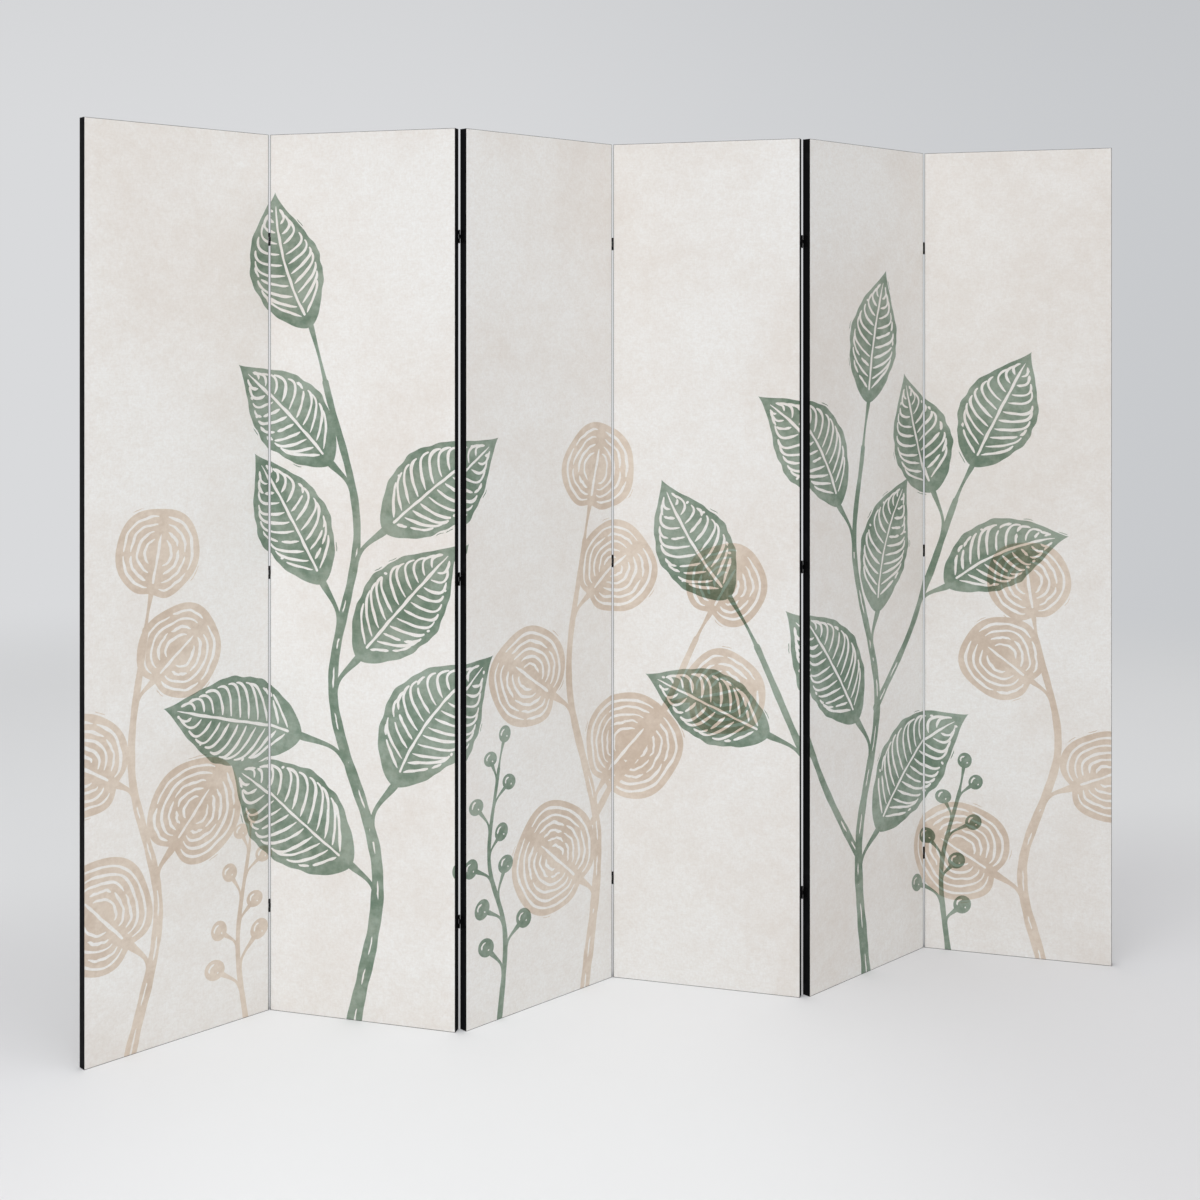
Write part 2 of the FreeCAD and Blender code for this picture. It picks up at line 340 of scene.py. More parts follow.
class Graph:
    """A node tree while it is drawn."""

    def __init__(self, tree: bpy.types.NodeTree) -> None:
        """Draw in this tree."""
        self.tree = tree

    def add(self, kind: str, inputs: dict[str | int, object] | None = None,
            **settings: object) -> bpy.types.Node:
        """Add a node.

        Args:
            kind: The node's type.
            inputs: A value or another node's output for each input, by name or number.
            settings: The node's own settings.

        Returns:
            The node.
        """
        node = self.tree.nodes.new(kind)
        for name, value in settings.items():
            setattr(node, name, value)
        for key, value in (inputs or {}).items():
            self.feed(node.inputs[key], value)
        return node

    def feed(self, socket: Socket, value: object) -> None:
        """Join an output to a socket, or set the socket's own value.

        Args:
            socket: The input.
            value: Another node's output, or a plain value.
        """
        if isinstance(value, bpy.types.NodeSocket):
            self.tree.links.new(value, socket)
        else:
            socket.default_value = value

    def math(self, operation: str, first: object, second: object = 0.0) -> Socket:
        """Add a sum of one or two values and give its result."""
        return self.add("ShaderNodeMath", {0: first, 1: second}, operation=operation).outputs[0]

    def vector(self, operation: str, first: object, second: object = (0.0, 0.0, 0.0)) -> Socket:
        """Add a vector sum and give its vector."""
        return self.add("ShaderNodeVectorMath", {0: first, 1: second}, operation=operation).outputs[0]

    def dot(self, first: object, second: object) -> Socket:
        """Add a dot product and give its value."""
        values = {0: first, 1: second}
        return self.add("ShaderNodeVectorMath", values, operation="DOT_PRODUCT").outputs["Value"]

    def mix(self, share: object, first: object, second: object, blend: str = "MIX") -> Socket:
        """Mix two colours.

        Args:
            share: How much of the second colour shows.
            first: The first colour.
            second: The second colour.
            blend: How the second colour is laid on the first.

        Returns:
            The mixed colour.
        """
        values = {0: share, 6: first, 7: second}
        return self.add("ShaderNodeMix", values, data_type="RGBA", blend_type=blend).outputs[2]

    def remap(self, value: object, low: float, high: float,
              to_low: float = 0.0, to_high: float = 1.0) -> Socket:
        """Stretch a range of values to another range, with soft ends.

        Args:
            value: The value to change.
            low: Where the first range starts.
            high: Where it ends.
            to_low: What its start becomes.
            to_high: What its end becomes.

        Returns:
            The changed value.
        """
        values = {"Value": value, 1: low, 2: high, 3: to_low, 4: to_high}
        return self.add("ShaderNodeMapRange", values, interpolation_type="SMOOTHSTEP").outputs[0]

    def noise(self, place: object, scale: object, detail: float = 3.0, rough: float = 0.5) -> Socket:
        """Add a cloudy noise and give its value.

        Args:
            place: Where the noise is read.
            scale: Its number of clouds in a metre.
            detail: How many finer layers it has.
            rough: How strong the finer layers are.

        Returns:
            A value from 0 to 1.
        """
        values = {"Vector": place, "Scale": scale, "Detail": detail, "Roughness": rough}
        return self.add("ShaderNodeTexNoise", values, noise_dimensions="3D").outputs["Fac"]

    def bump(self, shader: bpy.types.Node, height: Socket, strength: float, depth: float) -> None:
        """Give a shader a fine relief.

        Args:
            shader: The Principled BSDF.
            height: The relief's height, from 0 to 1.
            strength: How much of it shows.
            depth: How deep it is, in metres.
        """
        values = {"Height": height, "Strength": strength, "Distance": depth}
        self.feed(shader.inputs["Normal"], self.add("ShaderNodeBump", values).outputs["Normal"])

    def group(self, tree: bpy.types.NodeTree, inputs: dict[str, object]) -> bpy.types.Node:
        """Place a node group with its own values.

        Args:
            tree: The group.
            inputs: A value or another node's output for each input, by name.

        Returns:
            The group's node.
        """
        node = self.add("ShaderNodeGroup", None, node_tree=tree)
        for name, value in inputs.items():
            self.feed(node.inputs[name], value)
        return node


def new_group(
    name: str, kind: str, inputs: Sequence[tuple[str, str]], outputs: Sequence[tuple[str, str]]
) -> tuple[Graph, bpy.types.Node, bpy.types.Node]:
    """Start a node group.

    Args:
        name: The group's name.
        kind: The type of its tree.
        inputs: Name and socket type of each input.
        outputs: Name and socket type of each output.

    Returns:
        The graph, its input node and its output node.
    """
    tree = bpy.data.node_groups.new(name, kind)
    for way, sockets in (("INPUT", inputs), ("OUTPUT", outputs)):
        for label, socket_type in sockets:
            tree.interface.new_socket(label, in_out=way, socket_type=socket_type)
    graph = Graph(tree)
    return graph, graph.add("NodeGroupInput"), graph.add("NodeGroupOutput")


class Effects:
    """The shader groups that several finishes share."""

    def __init__(self) -> None:
        """Build each group once."""
        self.clouds = self._clouds()
        self.fibres = self._fibres()
        self.weave = self._weave()
        self.scuffs = self._scuffs()

    @staticmethod
    def _clouds() -> bpy.types.NodeTree:
        """Draw soft unevenness of two sizes: wide clouds and smaller patches.

        Returns:
            The group.
        """
        sockets = [("Place", VECTOR), ("Clouds Per Metre", FLOAT), ("Patches Per Metre", FLOAT)]
        graph, start, end = new_group("soft_clouds", "ShaderNodeTree", sockets,
                                      [("Cloud", FLOAT), ("Patch", FLOAT)])
        cloud = graph.noise(start.outputs["Place"], start.outputs["Clouds Per Metre"], 3, 0.55)
        moved = graph.vector("ADD", start.outputs["Place"], (3.7, 1.9, 5.3))
        patch = graph.noise(moved, start.outputs["Patches Per Metre"], 4, 0.6)
        graph.feed(end.inputs["Cloud"], graph.remap(cloud, 0.32, 0.68))
        graph.feed(end.inputs["Patch"], graph.remap(patch, 0.3, 0.7))
        return graph.tree

    @staticmethod
    def _fibres() -> bpy.types.NodeTree:
        """Draw short fibres that lie along and across the cloth.

        Returns:
            The group.
        """
        sockets = [("Place", VECTOR), ("Fibres Per Metre", FLOAT), ("Stretch", FLOAT)]
        graph, start, end = new_group("fibres", "ShaderNodeTree", sockets, [("Tone", FLOAT)])
        place, rate = start.outputs["Place"], start.outputs["Fibres Per Metre"]
        stretch = start.outputs["Stretch"]
        along = graph.add("ShaderNodeCombineXYZ", {"X": 1.0, "Y": stretch, "Z": 1.0}).outputs[0]
        across = graph.add("ShaderNodeCombineXYZ", {"X": stretch, "Y": 1.0, "Z": 1.0}).outputs[0]
        first = graph.noise(graph.vector("MULTIPLY", place, along), rate, 2, 0.6)
        second = graph.noise(graph.vector("MULTIPLY", place, across), rate, 2, 0.6)
        both = graph.math("MULTIPLY", graph.math("ADD", first, second), 0.5)
        graph.feed(end.inputs["Tone"], graph.remap(both, 0.36, 0.64))
        return graph.tree

    @staticmethod
    def _weave() -> bpy.types.NodeTree:
        """Draw a plain weave: threads that pass over and under each other, and painted shade in the hollows
        between them.

        Returns:
            The group.
        """
        sockets = [("Place", VECTOR), ("Threads Per Metre", FLOAT), ("Unevenness", FLOAT)]
        graph, start, end = new_group("plain_weave", "ShaderNodeTree", sockets,
                                      [("Height", FLOAT), ("Hollow Shade", FLOAT)])
        place, rate = start.outputs["Place"], start.outputs["Threads Per Metre"]
        drift = graph.math("SUBTRACT", graph.noise(place, graph.math("MULTIPLY", rate, 0.09), 2), 0.5)
        shift = graph.math("MULTIPLY", drift, start.outputs["Unevenness"])
        split = graph.add("ShaderNodeSeparateXYZ", {0: place}).outputs
        turns = []
        for axis in (0, 1):
            count = graph.math("ADD", graph.math("MULTIPLY", split[axis], rate), shift)
            turns.append(graph.math("MULTIPLY", count, math.pi))
        waves = [graph.math("SINE", turn) for turn in turns]
        over = graph.math("MULTIPLY", waves[0], waves[1])
        ridges = graph.math("MULTIPLY", *[graph.math("ABSOLUTE", wave) for wave in waves])
        height = graph.math("ADD", graph.math("MULTIPLY", over, 0.35), graph.math("POWER", ridges, 0.5))
        graph.feed(end.inputs["Height"], height)
        # Painted shade: 1 in the hollows where the threads dip, 0 on their ridges.
        graph.feed(end.inputs["Hollow Shade"], graph.remap(ridges, 0.0, 0.35, 1.0, 0.0))
        return graph.tree

    @staticmethod
    def _scuffs() -> bpy.types.NodeTree:
        """Draw fine scratches and rubbed patches on a hard coat.

        Returns:
            The group.
        """
        sockets = [("Place", VECTOR), ("Marks Per Metre", FLOAT), ("Share", FLOAT)]
        graph, start, end = new_group("scuffs", "ShaderNodeTree", sockets,
                                      [("Rubbed", FLOAT), ("Grain", FLOAT)])
        place, rate = start.outputs["Place"], start.outputs["Marks Per Metre"]
        fine = graph.noise(place, graph.math("MULTIPLY", rate, 6.0), 2, 0.6)
        broad = graph.noise(graph.vector("ADD", place, (0.31, 0.77, 0.13)), rate, 4, 0.65)
        drawn_out = graph.vector("MULTIPLY", place, (1.0, 1.0, 0.12))
        line = graph.noise(drawn_out, graph.math("MULTIPLY", rate, 3.0), 1)
        worn = graph.math("MULTIPLY", graph.remap(broad, 0.52, 0.7), graph.remap(line, 0.45, 0.62))
        graph.feed(end.inputs["Rubbed"], graph.math("MULTIPLY", worn, start.outputs["Share"]))
        graph.feed(end.inputs["Grain"], fine)
        return graph.tree


def new_material(name: str) -> tuple[bpy.types.Material, Graph, bpy.types.Node]:
    """Start a material.

    Args:
        name: The material's name.

    Returns:
        The material, its graph and its Principled BSDF.
    """
    material = bpy.data.materials.new(name)
    material.use_nodes = True
    shader = material.node_tree.nodes["Principled BSDF"]
    return material, Graph(material.node_tree), shader


@dataclass(frozen=True)
class CanvasFinish:
    """Cotton canvas with a cloudy washed ground, printed or plain.

    The rates are counts in a metre. The shares say how much of a colour shows at the most.
    """

    slot: Slot
    ground: Colour = srgb(235.5, 236, 235)
    warm: Colour = srgb(228.5, 225, 221)
    speck: Colour = srgb(205, 194, 183)
    inks: tuple[tuple[Ink, Colour, Colour], ...] = (
        (Ink.BEIGE, (0.880, 0.788, 0.697, 1.0), (0.728, 0.614, 0.518, 1.0)),
        (Ink.SAGE, (0.385, 0.470, 0.405, 1.0), (0.175, 0.265, 0.198, 1.0)),
    )
    wash_offset: Triple = (85.5, -55.8, 69.8)
    wash_rates: Point = (2.8, 34.0)
    felt_rates: Point = (95.0, 210.0)
    fibre_rate: float = 420.0
    fibre_stretch: float = 0.22
    thread_rate: float = 1150.0
    thread_uneven: float = 0.5
    warm_share: float = 0.85
    patch_share: float = 0.30
    blot_share: float = 0.08
    blot_outside: float = 0.35
    felt_shares: Point = (0.12, 0.17)
    fibre_share: float = 0.12
    # How strongly painted shade darkens the hollows between the threads.
    hollow_shade_share: float = 0.06
    ink_rates: Point = (7.0, 60.0)
    ink_shares: Point = (0.6, 0.3)
    ink_missed: float = 0.12
    roughness: Point = (0.82, 0.92)
    specular: float = 0.25
    sheen: float = 0.08
    sheen_roughness: float = 0.6
    fibre_relief: float = 0.5
    relief_strength: float = 0.22
    relief_depth: float = 0.00025

    def build(self, effects: Effects) -> bpy.types.Material:
        """Draw the finish.

        Args:
            effects: The shared shader groups.

        Returns:
            The material.
        """
        material, graph, shader = new_material(self.slot.value)
        place = graph.add("ShaderNodeUVMap", None, uv_map=CLOTH_UV).outputs["UV"]
        washed = graph.vector("ADD", place, self.wash_offset)
        cloud, patch = self._clouds(graph, effects, washed, self.wash_rates)
        soft, fine = self._clouds(graph, effects, place, self.felt_rates)
        fibre = graph.group(effects.fibres, {"Place": place, "Fibres Per Metre": self.fibre_rate,
                                             "Stretch": self.fibre_stretch}).outputs["Tone"]
        weave = graph.group(effects.weave, {"Place": place, "Threads Per Metre": self.thread_rate,
                                            "Unevenness": self.thread_uneven}).outputs
        warmer = graph.math("MULTIPLY", graph.math("SUBTRACT", patch, 0.5), self.patch_share)
        warmth = graph.math("ADD", graph.math("MULTIPLY", cloud, self.warm_share), warmer)
        colour = graph.mix(warmth, self.ground, self.warm)
        blot = graph.math("MULTIPLY", patch, graph.math("ADD", cloud, self.blot_outside))
        colour = graph.mix(graph.math("MULTIPLY", blot, self.blot_share), colour, self.speck)
        grain = graph.math("MULTIPLY", fibre, self.fibre_share)
        for tone, share in zip((soft, fine), self.felt_shares):
            grain = graph.math("ADD", grain, graph.math("MULTIPLY", tone, share))
        colour = graph.mix(grain, colour, self.speck)
        for ink, light, deep in self.inks if self.slot is Slot.PRINTED else ():
            colour = self._lay_ink(graph, place, fibre, colour, ink, light, deep)
        # Painted shade: the hollows between the threads are multiplied darker with the speck colour.
        hollow_shade = graph.math("MULTIPLY", weave["Hollow Shade"], self.hollow_shade_share)
        graph.feed(shader.inputs["Base Color"], graph.mix(hollow_shade, colour, self.speck, "MULTIPLY"))
        graph.feed(shader.inputs["Roughness"], graph.remap(patch, 0.0, 1.0, *self.roughness))
        shader.inputs["Specular IOR Level"].default_value = self.specular
        shader.inputs["Sheen Weight"].default_value = self.sheen
        shader.inputs["Sheen Roughness"].default_value = self.sheen_roughness
        relief = graph.math("ADD", weave["Height"], graph.math("MULTIPLY", fibre, self.fibre_relief))
        graph.bump(shader, relief, self.relief_strength, self.relief_depth)
        return material

    @staticmethod
    def _clouds(graph: Graph, effects: Effects, place: Socket, rates: Point) -> tuple[Socket, Socket]:
        """Place the soft clouds at two rates.

        Args:
            graph: The material's graph.
            effects: The shared shader groups.
            place: Where the clouds are read.
            rates: Clouds and patches in a metre.

        Returns:
            The tone of the clouds and the tone of the patches.
        """
        clouds = graph.group(effects.clouds, {"Place": place, "Clouds Per Metre": rates[0],
                                              "Patches Per Metre": rates[1]})
        return clouds.outputs["Cloud"], clouds.outputs["Patch"]

    def _lay_ink(self, graph: Graph, place: Socket, fibre: Socket, under: Socket, ink: Ink,
                 light: Colour, deep: Colour) -> Socket:
        """Multiply one ink, mottled as from a hand-inked block, over what is under it.

        Args:
            graph: The material's graph.
            place: The cloth's own coordinates.
            fibre: The tone of the fibres, where less ink takes.
            under: The colour under the ink.
            ink: Which ink, and so which attribute says where it is.
            light: The ink where it is thin.
            deep: The ink where it is full.

        Returns:
            The colour with the ink on it.
        """
        here = graph.add("ShaderNodeAttribute", None, attribute_name=ink.value, attribute_type="GEOMETRY")
        broad = graph.remap(graph.noise(place, self.ink_rates[0], 4, 0.6), 0.33, 0.67)
        small = graph.remap(graph.noise(place, self.ink_rates[1], 4, 0.62), 0.3, 0.7)
        tones = [graph.math("MULTIPLY", tone, share) for tone, share in zip((broad, small), self.ink_shares)]
        fill = graph.math("ADD", *tones)
        fill = graph.math("SUBTRACT", fill, graph.math("MULTIPLY", fibre, self.ink_missed))
        tint = graph.mix(graph.remap(fill, 0.0, 0.85), light, deep)
        return graph.mix(here.outputs["Fac"], under, tint, "MULTIPLY")


@dataclass(frozen=True)
class TapeFinish:
    """Matt black woven tape that binds the edges."""

    slot: Slot = Slot.STRIP
    black: Colour = (0.0045, 0.0045, 0.0052, 1.0)
    faded: Colour = (0.011, 0.011, 0.0125, 1.0)
    thread_rate: float = 1900.0
    thread_uneven: float = 0.2
    scuff_rate: float = 38.0
    rubbed: float = 0.8
    roughness: Point = (0.68, 0.84)
    specular: float = 0.08
    relief_strength: float = 0.25
    relief_depth: float = 0.00015

    def build(self, effects: Effects) -> bpy.types.Material:
        """Draw the finish.

        Args:
            effects: The shared shader groups.

        Returns:
            The material.
        """
        material, graph, shader = new_material(self.slot.value)
        place = graph.add("ShaderNodeTexCoord").outputs["Object"]
        upright = graph.add("ShaderNodeSeparateXYZ", {0: place}).outputs
        across = graph.math("ADD", upright[0], upright[1])
        laid = graph.add("ShaderNodeCombineXYZ", {"X": across, "Y": upright[2], "Z": 0.0}).outputs[0]
        weave = graph.group(effects.weave, {"Place": laid, "Threads Per Metre": self.thread_rate,
                                            "Unevenness": self.thread_uneven})
        scuffs = graph.group(effects.scuffs, {"Place": place, "Marks Per Metre": self.scuff_rate,
                                              "Share": self.rubbed})
        graph.feed(shader.inputs["Base Color"], graph.mix(scuffs.outputs["Rubbed"], self.black, self.faded))
        grain = graph.remap(scuffs.outputs["Grain"], 0.3, 0.7, *self.roughness)
        graph.feed(shader.inputs["Roughness"], grain)
        shader.inputs["Specular IOR Level"].default_value = self.specular
        graph.bump(shader, weave.outputs["Height"], self.relief_strength, self.relief_depth)
        return material


@dataclass(frozen=True)
class BlackedMetal:
    """Steel with a thin black coat, rubbed in places."""

    slot: Slot
    coat: Colour = (0.012, 0.012, 0.013, 1.0)
    bare: Colour = (0.085, 0.083, 0.080, 1.0)
    roughness: Point = (0.34, 0.52)
    rubbed: float = 0.35
    scuff_rate: float = 260.0
    metallic: float = 0.85
    relief_strength: float = 0.12
    relief_depth: float = 0.0001

    def build(self, effects: Effects) -> bpy.types.Material:
        """Draw the finish.

        Args:
            effects: The shared shader groups.

        Returns:
            The material.
        """
        material, graph, shader = new_material(self.slot.value)
        place = graph.add("ShaderNodeTexCoord").outputs["Object"]
        scuffs = graph.group(effects.scuffs, {"Place": place, "Marks Per Metre": self.scuff_rate,
                                              "Share": self.rubbed})
        graph.feed(shader.inputs["Base Color"], graph.mix(scuffs.outputs["Rubbed"], self.coat, self.bare))
        grain = graph.remap(scuffs.outputs["Grain"], 0.3, 0.7, *self.roughness)
        graph.feed(shader.inputs["Roughness"], grain)
        shader.inputs["Metallic"].default_value = self.metallic
        graph.bump(shader, scuffs.outputs["Grain"], self.relief_strength, self.relief_depth)
        return material


@dataclass(frozen=True)
class PineFinish:
    """Planed pine with growth rings, for the frame under the canvas."""

    slot: Slot = Slot.PINE
    early: Colour = srgb(226, 196, 150)
    late: Colour = srgb(186, 138, 86)
    drawn_out: float = 0.06
    wander_rate: float = 9.0
    wander: float = 0.05
    ring_rate: float = 42.0
    ring_waver: float = 2.5
    ring_detail: float = 2.0
    fibre_rate: float = 900.0
    fibre_stretch: float = 0.04
    fibre_share: float = 0.25
    roughness: Point = (0.62, 0.5)
    relief_strength: float = 0.2
    relief_depth: float = 0.0002

    def build(self, effects: Effects) -> bpy.types.Material:
        """Draw the finish.

        Args:
            effects: The shared shader groups.

        Returns:
            The material.
        """
        material, graph, shader = new_material(self.slot.value)
        place = graph.add("ShaderNodeTexCoord").outputs["Object"]
        drawn_out = graph.vector("MULTIPLY", place, (1.0, 1.0, self.drawn_out))
        wander = graph.noise(drawn_out, self.wander_rate, 3, 0.5)
        aside = graph.vector("MULTIPLY", wander, (self.wander, self.wander, 0.0))
        values = {"Vector": graph.vector("ADD", drawn_out, aside), "Scale": self.ring_rate,
                  "Distortion": self.ring_waver, "Detail": self.ring_detail}
        rings = graph.add("ShaderNodeTexWave", values, wave_type="RINGS", rings_direction="Z",
                          wave_profile="SAW").outputs["Fac"]
        colour = graph.mix(graph.remap(rings, 0.25, 1.0), self.early, self.late)
        fibres = graph.group(effects.fibres, {"Place": place, "Fibres Per Metre": self.fibre_rate,
                                              "Stretch": self.fibre_stretch})
        darker = graph.math("MULTIPLY", fibres.outputs["Tone"], self.fibre_share)
        colour = graph.mix(darker, colour, self.late)
        graph.feed(shader.inputs["Base Color"], colour)
        graph.feed(shader.inputs["Roughness"], graph.remap(rings, 0.0, 1.0, *self.roughness))
        graph.bump(shader, fibres.outputs["Tone"], self.relief_strength, self.relief_depth)
        return material


def even_steps(line: np.ndarray, step: float) -> np.ndarray:
    """Space a line's points evenly.

    Args:
        line: The line's points.
        step: The wanted distance between points.

    Returns:
        The new points.
    """
    walked = np.concatenate(([0.0], np.cumsum(np.linalg.norm(np.diff(line, axis=0), axis=1))))
    stops = np.linspace(0, walked[-1], max(4, round(walked[-1] / step) + 1))
    return np.column_stack([np.interp(stops, walked, line[:, k]) for k in (0, 1)])


def smooth_line(knots: Sequence[Point], step: float) -> np.ndarray:
    """Draw a smooth line through a few points.

    Args:
        knots: The points that the line goes through.
        step: The distance between the points given back.

    Returns:
        Points along the line.
    """
    given = np.array(knots, float)
    ends = np.vstack((2 * given[0] - given[1], given, 2 * given[-1] - given[-2]))
    t = np.linspace(0, 1, 25)[:, None]
    runs = []
    for a, b, c, d in zip(ends, ends[1:], ends[2:], ends[3:]):
        bend, twist = 2 * a - 5 * b + 4 * c - d, 3 * b - a - 3 * c + d
        runs.append(0.5 * (2 * b + (c - a) * t + bend * t**2 + twist * t**3))
    return even_steps(np.vstack(runs), step)


def wobble(rng: random.Random, count: int, waves: float) -> np.ndarray:
    """Draw a slow random wave, as a hand-cut edge has.

    Args:
        rng: The random numbers.
        count: The number of values.
        waves: How many waves there are.

    Returns:
        Values between about -1 and 1.
    """
    q = np.linspace(0, 2 * math.pi, count)
    first, second = rng.uniform(0, 2 * math.pi), rng.uniform(0, 2 * math.pi)
    return 0.65 * np.sin(waves * q + first) + 0.35 * np.sin(2.3 * waves * q + second)


def normals(line: np.ndarray) -> tuple[np.ndarray, np.ndarray]:
    """Find a line's directions and its left-hand normals.

    Args:
        line: The line's points.

    Returns:
        At each point the direction, and the normal to its left.
    """
    along = np.gradient(line, axis=0)
    along /= np.maximum(np.linalg.norm(along, axis=1), 1e-9)[:, None]
    return along, np.column_stack((-along[:, 1], along[:, 0]))


def rounded_end(near: float, far: float, low: float, high: float, radius: float, steps: int) -> np.ndarray:
    """Outline a plate with its two far corners rounded.

    Args:
        near: Where its square end is.
        far: Where its rounded end is.
        low: Its lower edge.
        high: Its upper edge.
        radius: The radius of its round corners.
        steps: How many points make each.

    Returns:
        The closed outline, anticlockwise.
    """
    bend = np.linspace(0, math.pi / 2, steps)
    foot = polar((far - radius, low + radius), bend - math.pi / 2, radius)
    head = polar((far - radius, high - radius), bend, radius)
    return np.vstack((((near, low),), foot, head, ((near, high),)))


def band(line: np.ndarray, halves: np.ndarray) -> np.ndarray:
    """Outline a band of changing width with rounded ends.

    Args:
        line: The band's middle line.
        halves: Half its width at each point.

    Returns:
        The closed outline.
    """
    along, left = normals(line)
    sides = line + left * halves[:, None], line - left * halves[:, None]
    caps = []
    for index, way in ((-1, 1), (0, -1)):
        turn = np.radians([30, 60, 90, 120, 150])[:, None]
        reach = halves[index]
        caps.append(line[index] + way * (left[index] * np.cos(turn) + along[index] * np.sin(turn)) * reach)
    return np.vstack((sides[0], caps[0], sides[1][::-1], caps[1]))


@dataclass
class Shape:
    """One inked shape of the print and the lines cut out of it."""

    ink: Ink
    outline: np.ndarray
    cuts: list[np.ndarray] = field(default_factory=list)

    def reaches(self, low: float, high: float) -> bool:
        """Tell whether the shape comes between two distances along the print."""
        return bool(self.outline[:, 0].max() > low and self.outline[:, 0].min() < high)


@dataclass(frozen=True)
class Carving:
    """The hand that cuts the block: how wide and close its lines are, and how far they wander.

    The stem's values are for the short lines in a thick stem, and the stray ones for the ridges of
    uncut block beside a shape.
    """

    line: float = 5.2
    fine_line: float = 3.2
    pitch: float = 14.6
    margin: float = 13.0
    dot_radius: float = 3.0
    step: float = 2.6
    wave: float = 70.0
    wander: float = 0.55
    uneven: float = 0.2
    taper: float = 5.0
    width_spread: Point = (0.85, 1.15)
    dot_uneven: float = 0.18
    broken: float = 0.16
    dotted: float = 0.12
    least_piece: int = 6
    stem_over: float = 8.4
    stem_run: tuple[int, int] = (7, 14)
    stem_gap: tuple[int, int] = (6, 16)
    stem_aside: float = 2.0
    stray_line: float = 1.5
    stray_steps: int = 8
    stray_away: Point = (3.4, 5.0)

    def cut(self, rng: random.Random, path: np.ndarray, width: float | None = None,
            ends: Point = (0.35, 0.6)) -> np.ndarray:
        """Outline one cut line.

        Args:
            rng: The random numbers.
            path: The line's middle.
            width: Its full width, or none for the usual one.
            ends: The width at each end, as a share.

        Returns:
            The cut's closed outline.
        """
        line = even_steps(path, self.step)
        count = len(line)
        q = np.linspace(0, 1, count)
        full = (width or self.line) / 2 * rng.uniform(*self.width_spread)
        start, end = ends[0] ** 2 + q * self.taper, ends[1] ** 2 + (1 - q) * self.taper
        taper = np.sqrt(np.minimum(1, np.minimum(start, end)))
        _, left = normals(line)
        waves = max(1.0, count * self.step / self.wave)
        line = line + left * (self.wander * wobble(rng, count, waves))[:, None]
        return band(line, full * taper * (1 + self.uneven * wobble(rng, count, waves)))

    def dot(self, rng: random.Random, centre: Sequence[float], radius: float) -> np.ndarray:
        """Outline one round cut.

        Args:
            rng: The random numbers.
            centre: Its middle.
            radius: Its radius.

        Returns:
            The cut's closed outline.
        """
        around = np.linspace(0, 2 * math.pi, 16, endpoint=False)
        reach = radius * (1 + self.dot_uneven * np.sin(2 * around + rng.uniform(0, 6)))
        return polar(centre, around, reach)


